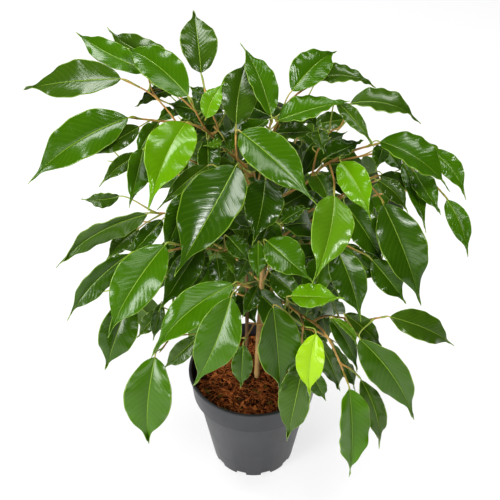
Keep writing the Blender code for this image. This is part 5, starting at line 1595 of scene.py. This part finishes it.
def build_pot(materials):
    """The shell with rounded lip, collar and foot, and notches in the foot."""
    neck = POT_HEIGHT - LIP_HEIGHT
    ledge = FOOT_HEIGHT + FLOOR
    inside = [(0.0, FLOOR), (DISC_RADIUS - FLOOR_SLOPE, FLOOR), (DISC_RADIUS, ledge)]
    for z in (ledge, COLLAR_BOTTOM - 2 * WALL, COLLAR_BOTTOM + WALL, POT_HEIGHT):
        inside.append((inner_radius(z), z))
    outside = [
        (RIM_RADIUS, POT_HEIGHT), (RIM_RADIUS, neck), (RIM_RADIUS - LIP_EDGE, neck - 0.5 * EDGE),
        (COLLAR_BOTTOM_RADIUS, COLLAR_BOTTOM + EDGE), (BODY_TOP_RADIUS, COLLAR_BOTTOM),
        (BASE_RADIUS, EDGE), (BASE_RADIUS - EDGE, 0.0),
    ]
    foot_in = BASE_RADIUS - EDGE - FOOT_WIDTH
    under = [
        (foot_in, 0.0), (foot_in - EDGE, FOOT_HEIGHT), (DISC_RADIUS + DISC_SLOPE, FOOT_HEIGHT),
        (DISC_RADIUS, 0.0), (0.0, 0.0),
    ]
    profile = rounded(inside + outside + under, FILLET)
    work = bmesh.new()
    rings = []
    for radius, z in profile:
        if radius < ON_AXIS:
            rings.append([work.verts.new((0.0, 0.0, z))] * POT_STEPS)
        else:
            rings.append([work.verts.new((radius * math.cos(math.tau * step / POT_STEPS),
                                          radius * math.sin(math.tau * step / POT_STEPS), z))
                          for step in range(POT_STEPS)])
    for low, high in zip(rings, rings[1:]):
        for step in range(POT_STEPS):
            following = (step + 1) % POT_STEPS
            corners = [low[step], low[following], high[following], high[step]]
            work.faces.new(list(dict.fromkeys(corners)))
    bmesh.ops.recalc_face_normals(work, faces=work.faces)
    mesh = bpy.data.meshes.new("pot_shell")
    work.to_mesh(mesh)
    work.free()
    pot = bpy.data.objects.new("pot_shell", mesh)
    bpy.context.scene.collection.objects.link(pot)
    boxes = bmesh.new()
    for number in range(NOTCHES):
        angle = math.radians(-90.0 + 360.0 * (number + 0.5) / NOTCHES)
        place = Matrix.Rotation(angle, 4, "Z") @ Matrix.Translation((BASE_RADIUS, 0.0, 0.0))
        size = Matrix.Diagonal((NOTCH_DEPTH, NOTCH_WIDTH, 2 * NOTCH_HEIGHT, 1.0))
        bmesh.ops.create_cube(boxes, size=1.0, matrix=place @ size)
    bmesh.ops.bevel(boxes, geom=list(boxes.edges), offset=NOTCH_BEVEL, segments=3,
                    affect="EDGES", profile=0.5)
    cutter_mesh = bpy.data.meshes.new("notches")
    boxes.to_mesh(cutter_mesh)
    boxes.free()
    cutter = bpy.data.objects.new("notches", cutter_mesh)
    bpy.context.scene.collection.objects.link(cutter)
    hole = pot.modifiers.new("notches", "BOOLEAN")
    hole.operation = "DIFFERENCE"
    hole.object = cutter
    hole.solver = "EXACT"
    bpy.context.view_layer.update()
    final = bpy.data.meshes.new_from_object(
        pot.evaluated_get(bpy.context.evaluated_depsgraph_get()))
    pot.modifiers.clear()
    pot.data = final
    bpy.data.objects.remove(cutter)
    final.materials.clear()
    final.materials.append(materials["pot"])
    final.shade_smooth()
    final.set_sharp_from_angle(angle=POT_SMOOTH)
    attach(pot, "root")
    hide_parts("pot")


def chip_shape(draw, size):
    """A small irregular flake, as points round its middle and faces."""
    work = bmesh.new()
    bmesh.ops.create_icosphere(work, subdivisions=1, radius=1.0)
    stretch = Vector([draw.uniform(*span) for span in (FLAKE_LENGTH, FLAKE_WIDTH, FLAKE_HEIGHT)])
    points = []
    for vert in work.verts:
        jitter = draw.uniform(*FLAKE_JITTER)
        points.append(Vector(vert.co[i] * stretch[i] for i in range(3)) * (jitter * size))
    faces = [tuple(v.index for v in face.verts) for face in work.faces]
    work.free()
    return points, faces


def soil_height(x, y):
    """How far the loose soil at a place lies above or below the plain surface."""
    mound = noise.noise(Vector((MOUND_SCALE * x, MOUND_SCALE * y, 3.0)))
    heap = noise.noise(Vector((HEAP_SCALE * x, HEAP_SCALE * y, 9.0)))
    return SOIL_RISE + SOIL_MOUND * mound + SOIL_HEAP * heap


def scatter_flakes(draw, edge, stems, materials):
    """Flakes of bark and husk that lie in the hollows and on the heaps of the soil, with mostly dark
    flakes in the hollows as painted shade.
    """
    flakes = Shape()
    for _ in range(FLAKES):
        size = draw.choice(FLAKE_SIZES)
        away = (edge - FLAKE_WALL_ROOM * size) * math.sqrt(draw.random())
        angle = draw.uniform(0.0, math.tau)
        x, y = away * math.cos(angle), away * math.sin(angle)
        room = FLAKE_STEM_ROOM * size
        if any(math.hypot(x - stem.x, y - stem.y) < radius + room for stem, radius in stems):
            continue
        lift = soil_height(x, y)
        z = SOIL_TOP + lift + draw.uniform(*FLAKE_LIFT) * size
        points, faces = chip_shape(draw, size)
        turn = (Matrix.Rotation(draw.uniform(0, math.tau), 3, "Z")
                @ Matrix.Rotation(draw.uniform(-FLAKE_TILT, FLAKE_TILT), 3, "X"))
        points = [turn @ p + Vector((x, y, z)) for p in points]
        # Flakes in hollows are mostly of the dark kind: painted shade.
        low = lift < SOIL_RISE - HOLLOW * SOIL_MOUND
        flakes.add(points, faces, draw.choice(HOLLOW_SHADE_KINDS if low else HIGH_KINDS))
    kinds = [materials[k] for k in ("husk", "husk_orange", "husk_dark", "husk_green")]
    piece = flakes.made("soil_flakes", kinds, FLAKE_SMOOTH)


def scatter_fibres(draw, edge, stems, materials):
    """A tangle of short and long fibres that lies over the flakes."""
    fibres = Shape()
    for _ in range(FIBRES):
        long = draw.random() < LONG_SHARE
        length = draw.uniform(*(LONG_FIBRE if long else SHORT_FIBRE))
        away = (edge - 0.5 * length) * math.sqrt(draw.random())
        angle = draw.uniform(0.0, math.tau)
        heading = draw.uniform(0.0, math.tau)
        curl = draw.uniform(-FIBRE_CURL, FIBRE_CURL)
        point = Vector((away * math.cos(angle), away * math.sin(angle), 0.0))
        path = []
        steps = LONG_STEPS if long else SHORT_STEPS
        rise = draw.uniform(*(LONG_RISE if long else SHORT_RISE))
        for step in range(steps + 1):
            hump = math.sin(math.pi * step / steps) * rise
            lift = max(soil_height(point.x, point.y), 0.0) + FIBRE_LIFT
            path.append(Vector((point.x, point.y, SOIL_TOP + lift + hump)))
            heading += curl + draw.uniform(-FIBRE_BEND, FIBRE_BEND)
            point = point + Vector((math.cos(heading), math.sin(heading), 0.0)) * (length / steps)
            if point.xy.length > edge - FIBRE_WALL_ROOM:
                point = point * ((edge - FIBRE_WALL_ROOM) / point.xy.length)
        if any((p - stem).xy.length < radius + FIBRE_STEM_ROOM for p in path for stem, radius in stems):
            continue
        radius = draw.uniform(*(LONG_THICKNESS if long else SHORT_THICKNESS))
        fibres.bar(path, [radius] * len(path), FIBRE_SIDES, draw.choice(FIBRE_KINDS))
    piece = fibres.made("soil_fibres", [materials["husk_orange"], materials["husk"]])


def build_soil(materials):
    """The soil's own look, and the loose flakes and fibres that lie on it."""
    for slot in frame["nodes"]["soil"].material_slots:
        slot.material = materials["soil"]
    draw = random.Random("soil")
    edge = inner_radius(SOIL_TOP) - SOIL_EDGE
    stems = [(path[1], radius) for _, path, radius in STEMS]
    scatter_flakes(draw, edge, stems, materials)
    scatter_fibres(draw, edge, stems, materials)


def build_stems(materials, routes):
    """Trunk and second stem: round, a little knotted, with fine bark."""
    for name, path, radius in STEMS:
        points, thick = catmull(path, tapered(path, radius))
        for step in range(len(thick)):
            wobble = noise.noise(Vector((0.0, step * FINE_STEP * STEM_WOBBLE_SCALE, 7.0)))
            knot = math.sin(math.pi * (step * FINE_STEP / STEM_KNOT_GAP)) ** STEM_KNOT_SHARPNESS
            thick[step] *= 1.0 + STEM_WOBBLE * wobble + STEM_KNOT * knot
        shape = Shape()
        shape.bar(points, thick, STEM_SIDES, 0)
        piece = shape.made(name + "_fine", [materials[name]])
        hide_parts(name)
        routes[name] = [points]


def build_branch(branch, materials, routes):
    """The leaves of one branch, and its twigs and petioles, in place of its node."""
    node = "branch_" + branch["name"]
    leaves = leaves_piece("leaves_" + branch["name"], branch["blades"], materials)
    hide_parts(node)
    bars = twigs_piece(branch, materials, routes)
    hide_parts(node)


def twig_spots(branches):
    """Places along the twigs where an inner leaf may be joined, each with its branch."""
    return [(branch, sample[0]) for branch in branches
            for points, radii in branch["twigs"] for sample in sampled(points, radii)[2:]]


def scattered(draw):
    """A vector drawn with no preferred direction."""
    return Vector((draw.gauss(0, 1), draw.gauss(0, 1), draw.gauss(0, 1)))


def inside_hull(tip):
    """Whether a tip lies inside the crown's surface by a margin."""
    out = tip - CROWN_CENTRE
    return out.length <= INNER_OUTERMOST * crown_radius(out.normalized())


def join_leaf(branch, blade, joint, solid, placed):
    branch["blades"].append(blade)
    branch["joints"].append(joint)
    placed.append(solid)


def place_inner_leaves(branches, placed):
    """Small shaded leaves that fill the inside of the crown, each on a twig beside it."""
    draw = random.Random("inner leaves")
    spots = twig_spots(branches)
    count = 0
    for attempt in range(INNER_TRIES):
        branch, joint = draw.choice(spots)
        out = joint - CROWN_CENTRE
        turn = Vector((draw.gauss(0, 1), draw.gauss(0, 1), draw.gauss(0, 1) - INNER_DROP))
        heading = turn.normalized() + INNER_OUT * out.normalized() + INNER_SAG * DOWN
        heading.normalize()
        length = draw.uniform(*INNER_LENGTH)
        aside = scattered(draw).normalized()
        base = joint + (heading + INNER_ASIDE * aside).normalized() * draw.uniform(*INNER_PETIOLE)
        tip = base + heading * length
        facing = out.normalized() + Vector((0, 0, draw.uniform(*INNER_UP)))
        facing += INNER_STRAY * scattered(draw)
        roll = math.radians(draw.uniform(-INNER_ROLL_DEGREES, INNER_ROLL_DEGREES))
        tone = draw.choice(INNER_TONES)
        reach = (base - CROWN_CENTRE).length / CROWN_RADIUS
        if not INNER_REACH[0] < reach < INNER_REACH[1] or tip.z < BACK_LOWEST + INNER_ABOVE:
            continue
        if not inside_hull(tip):
            continue
        bow = draw.uniform(-INNER_BOW, INNER_BOW) * length
        blade = Blade(f"inner leaf {attempt}", base, tip, facing, INNER_ASPECT * length, roll, bow, tone)
        solid = Solid(branch["name"], blade.name, *thicken(*blade.sheet(), INNER_SKIN))
        if not is_clear(solid, placed) or hides(blade, INNER_RANK, placed):
            continue
        if not hidden_from_front(blade.sheet()[0], [s for s in placed if s.rank < INNER_RANK]):
            continue
        join_leaf(branch, blade, joint, solid, placed)
        count += 1
        if count == INNER_LEAVES:
            break


def place_fill_leaves(branches, placed):
    """Leaves where one could see right through the dense crown, each joined to a near twig."""
    draw = random.Random("fill leaves")
    spots = twig_spots(branches)
    seen = [in_view(joint) for _, joint in spots]
    left, right = min(x for x, _ in DENSE_CROWN), max(x for x, _ in DENSE_CROWN)
    top, bottom = min(y for _, y in DENSE_CROWN), max(y for _, y in DENSE_CROWN)
    count = 0
    for attempt in range(FILL_TRIES):
        place = (draw.uniform(left, right), draw.uniform(top, bottom))
        length = draw.uniform(*FILL_LENGTH)
        behind = draw.uniform(*FILL_BEHIND)
        heading = DOWN + Vector(draw.uniform(-FILL_TURN, FILL_TURN) for _ in range(3))
        lean = Vector(draw.uniform(-FILL_LEAN, FILL_LEAN) for _ in range(3))
        roll = math.radians(draw.uniform(-INNER_ROLL_DEGREES, INNER_ROLL_DEGREES))
        tone = draw.choice(INNER_TONES)
        share = draw.uniform(*FILL_SHARE)
        if not inside_dense_crown(place):
            continue
        sight = ray(place).normalized()
        if any(solid.tree.ray_cast(EYE, sight)[0] is not None for solid in placed):
            continue
        _, depth = min(seen, key=lambda s: math.dist(s[0], place))
        heading.normalize()
        middle = at_depth(place, depth + behind)
        base = middle - heading * (share * length)
        branch, joint = min(spots, key=lambda s: (s[1] - base).length)
        if not FILL_NEAREST < (joint - base).length < FILL_PETIOLE:
            continue
        tip = base + heading * length
        if not inside_hull(tip):
            continue
        facing = (EYE - middle).normalized() + lean
        name = f"inner leaf fill {attempt}"
        blade = Blade(name, base, tip, facing, INNER_ASPECT * length, roll, 0.0, tone)
        solid = Solid(branch["name"], blade.name, *thicken(*blade.sheet(), FILL_SKIN))
        if not is_clear(solid, placed) or hides(blade, INNER_RANK, placed):
            continue
        join_leaf(branch, blade, joint, solid, placed)
        count += 1
        if count == FILL_LEAVES:
            break


def build_plant(materials):
    placed = [pot_guard()]
    blades = place_front_blades(placed)
    fronts = placed[1:]
    grown = {}
    routes = {}
    for name, path, radius in STEMS:
        radii = tapered(path, radius)
        grown[name] = sampled(path, radii)
        placed.append(Solid(name, name, *tube_shape(path, radii)))
    build_stems(materials, routes)
    branches = []
    for branch in FRONT_BRANCHES:
        twigs = place_front_twigs(branch, blades, grown, placed)
        branches.append({"name": branch.name, "parent": branch.parent, "twigs": twigs})
    for branch, row in zip(FRONT_BRANCHES, branches):
        row["blades"] = [blades[leaf.name] for leaf in branch.leaves]
        row["joints"] = place_petioles(branch.name, row["blades"], grown[branch.name], placed)
    for index, row in enumerate(BACK_BRANCHES):
        made = place_back_branch(index, row, grown, placed, fronts)
        if made and made[2]:
            name, twigs, mine, joints = made
            branches.append({"name": name, "parent": "trunk", "twigs": twigs,
                             "blades": mine, "joints": joints})
    place_inner_leaves(branches, placed)
    place_fill_leaves(branches, placed)
    for branch in branches:
        build_branch(branch, materials, routes)


def build_studio(materials):
    """Pale floor, soft lights and the camera."""
    scene = bpy.context.scene
    bpy.ops.mesh.primitive_plane_add(size=FLOOR_SIZE, location=(0.0, 0.0, 0.0))
    floor = bpy.context.object
    floor.name = "studio_floor"
    floor.data.materials.append(materials["floor"])
    world = bpy.data.worlds.new("studio")
    world.use_nodes = True
    world.node_tree.nodes["Background"].inputs["Color"].default_value = (1.0, 1.0, 1.0, 1.0)
    world.node_tree.nodes["Background"].inputs["Strength"].default_value = WORLD_STRENGTH
    scene.world = world
    for name, around, above, away, size, power in LIGHTS:
        lamp = bpy.data.lights.new(name, "AREA")
        lamp.shape = "RECTANGLE"
        lamp.size, lamp.size_y = size
        lamp.energy = power
        holder = bpy.data.objects.new(name + "_light", lamp)
        way = on_crown(math.radians(around), math.radians(above))
        holder.location = LIGHT_AIM + way * away
        holder.rotation_euler = (-way).to_track_quat("-Z", "Y").to_euler()
        scene.collection.objects.link(holder)
    lens = bpy.data.cameras.new("camera")
    lens.sensor_width = SENSOR
    lens.lens = FOCAL / PICTURE * lens.sensor_width
    lens.shift_x = (0.5 * PICTURE - CENTRE[0]) / PICTURE
    lens.clip_start = NEAR_CLIP
    camera = bpy.data.objects.new("camera", lens)
    camera.location = EYE
    camera.rotation_euler = (math.pi / 2 - VIEW_ELEVATION, 0.0, 0.0)
    scene.collection.objects.link(camera)
    scene.camera = camera
    scene.view_settings.view_transform = "Standard"
    scene.view_settings.look = "Medium High Contrast"


# Bark and soil colours: key, material name, dark and light tone, and the scale of bark's patches
BARKS = (
    ("bark_twig", "bark_twig", (0.38, 0.210, 0.062), (0.58, 0.360, 0.112), 60.0),
    ("trunk", "bark_trunk", (0.36, 0.230, 0.090), (0.56, 0.380, 0.160), 45.0),
    # The second stem's bark is a darker copy of the trunk's bark: painted shade.
    ("second_stem", "bark_stem", (0.12, 0.070, 0.030), (0.22, 0.14, 0.06), 60.0),
)
CRUMBS = (
    ("soil", "soil_ground", (0.025, 0.010, 0.005), (0.090, 0.034, 0.014)),
    ("husk", "husk", (0.190, 0.052, 0.017), (0.400, 0.130, 0.040)),
    ("husk_orange", "husk_orange", (0.360, 0.115, 0.034), (0.620, 0.230, 0.072)),
    # The dark husk is real where it lies on heaps; in the hollows it is painted shade.
    ("husk_dark", "husk_dark", (0.045, 0.018, 0.008), (0.110, 0.042, 0.018)),
    ("husk_green", "husk_green", (0.100, 0.075, 0.016), (0.200, 0.155, 0.032)),
)


def all_materials():
    found = {}
    for tone in LEAF_LOOKS:
        found[tone] = leaf_material(tone, False)
        found["under_" + tone] = leaf_material(tone, True)
    for key, *values in BARKS:
        found[key] = bark_material(*values)
    found["petiole"] = petiole_material()
    for key, *values in CRUMBS:
        found[key] = crumb_material(*values)
    found["pot"] = pot_material()
    found["floor"] = floor_material()
    return found


looks = all_materials()
build_studio(looks)
build_pot(looks)
build_soil(looks)
build_plant(looks)
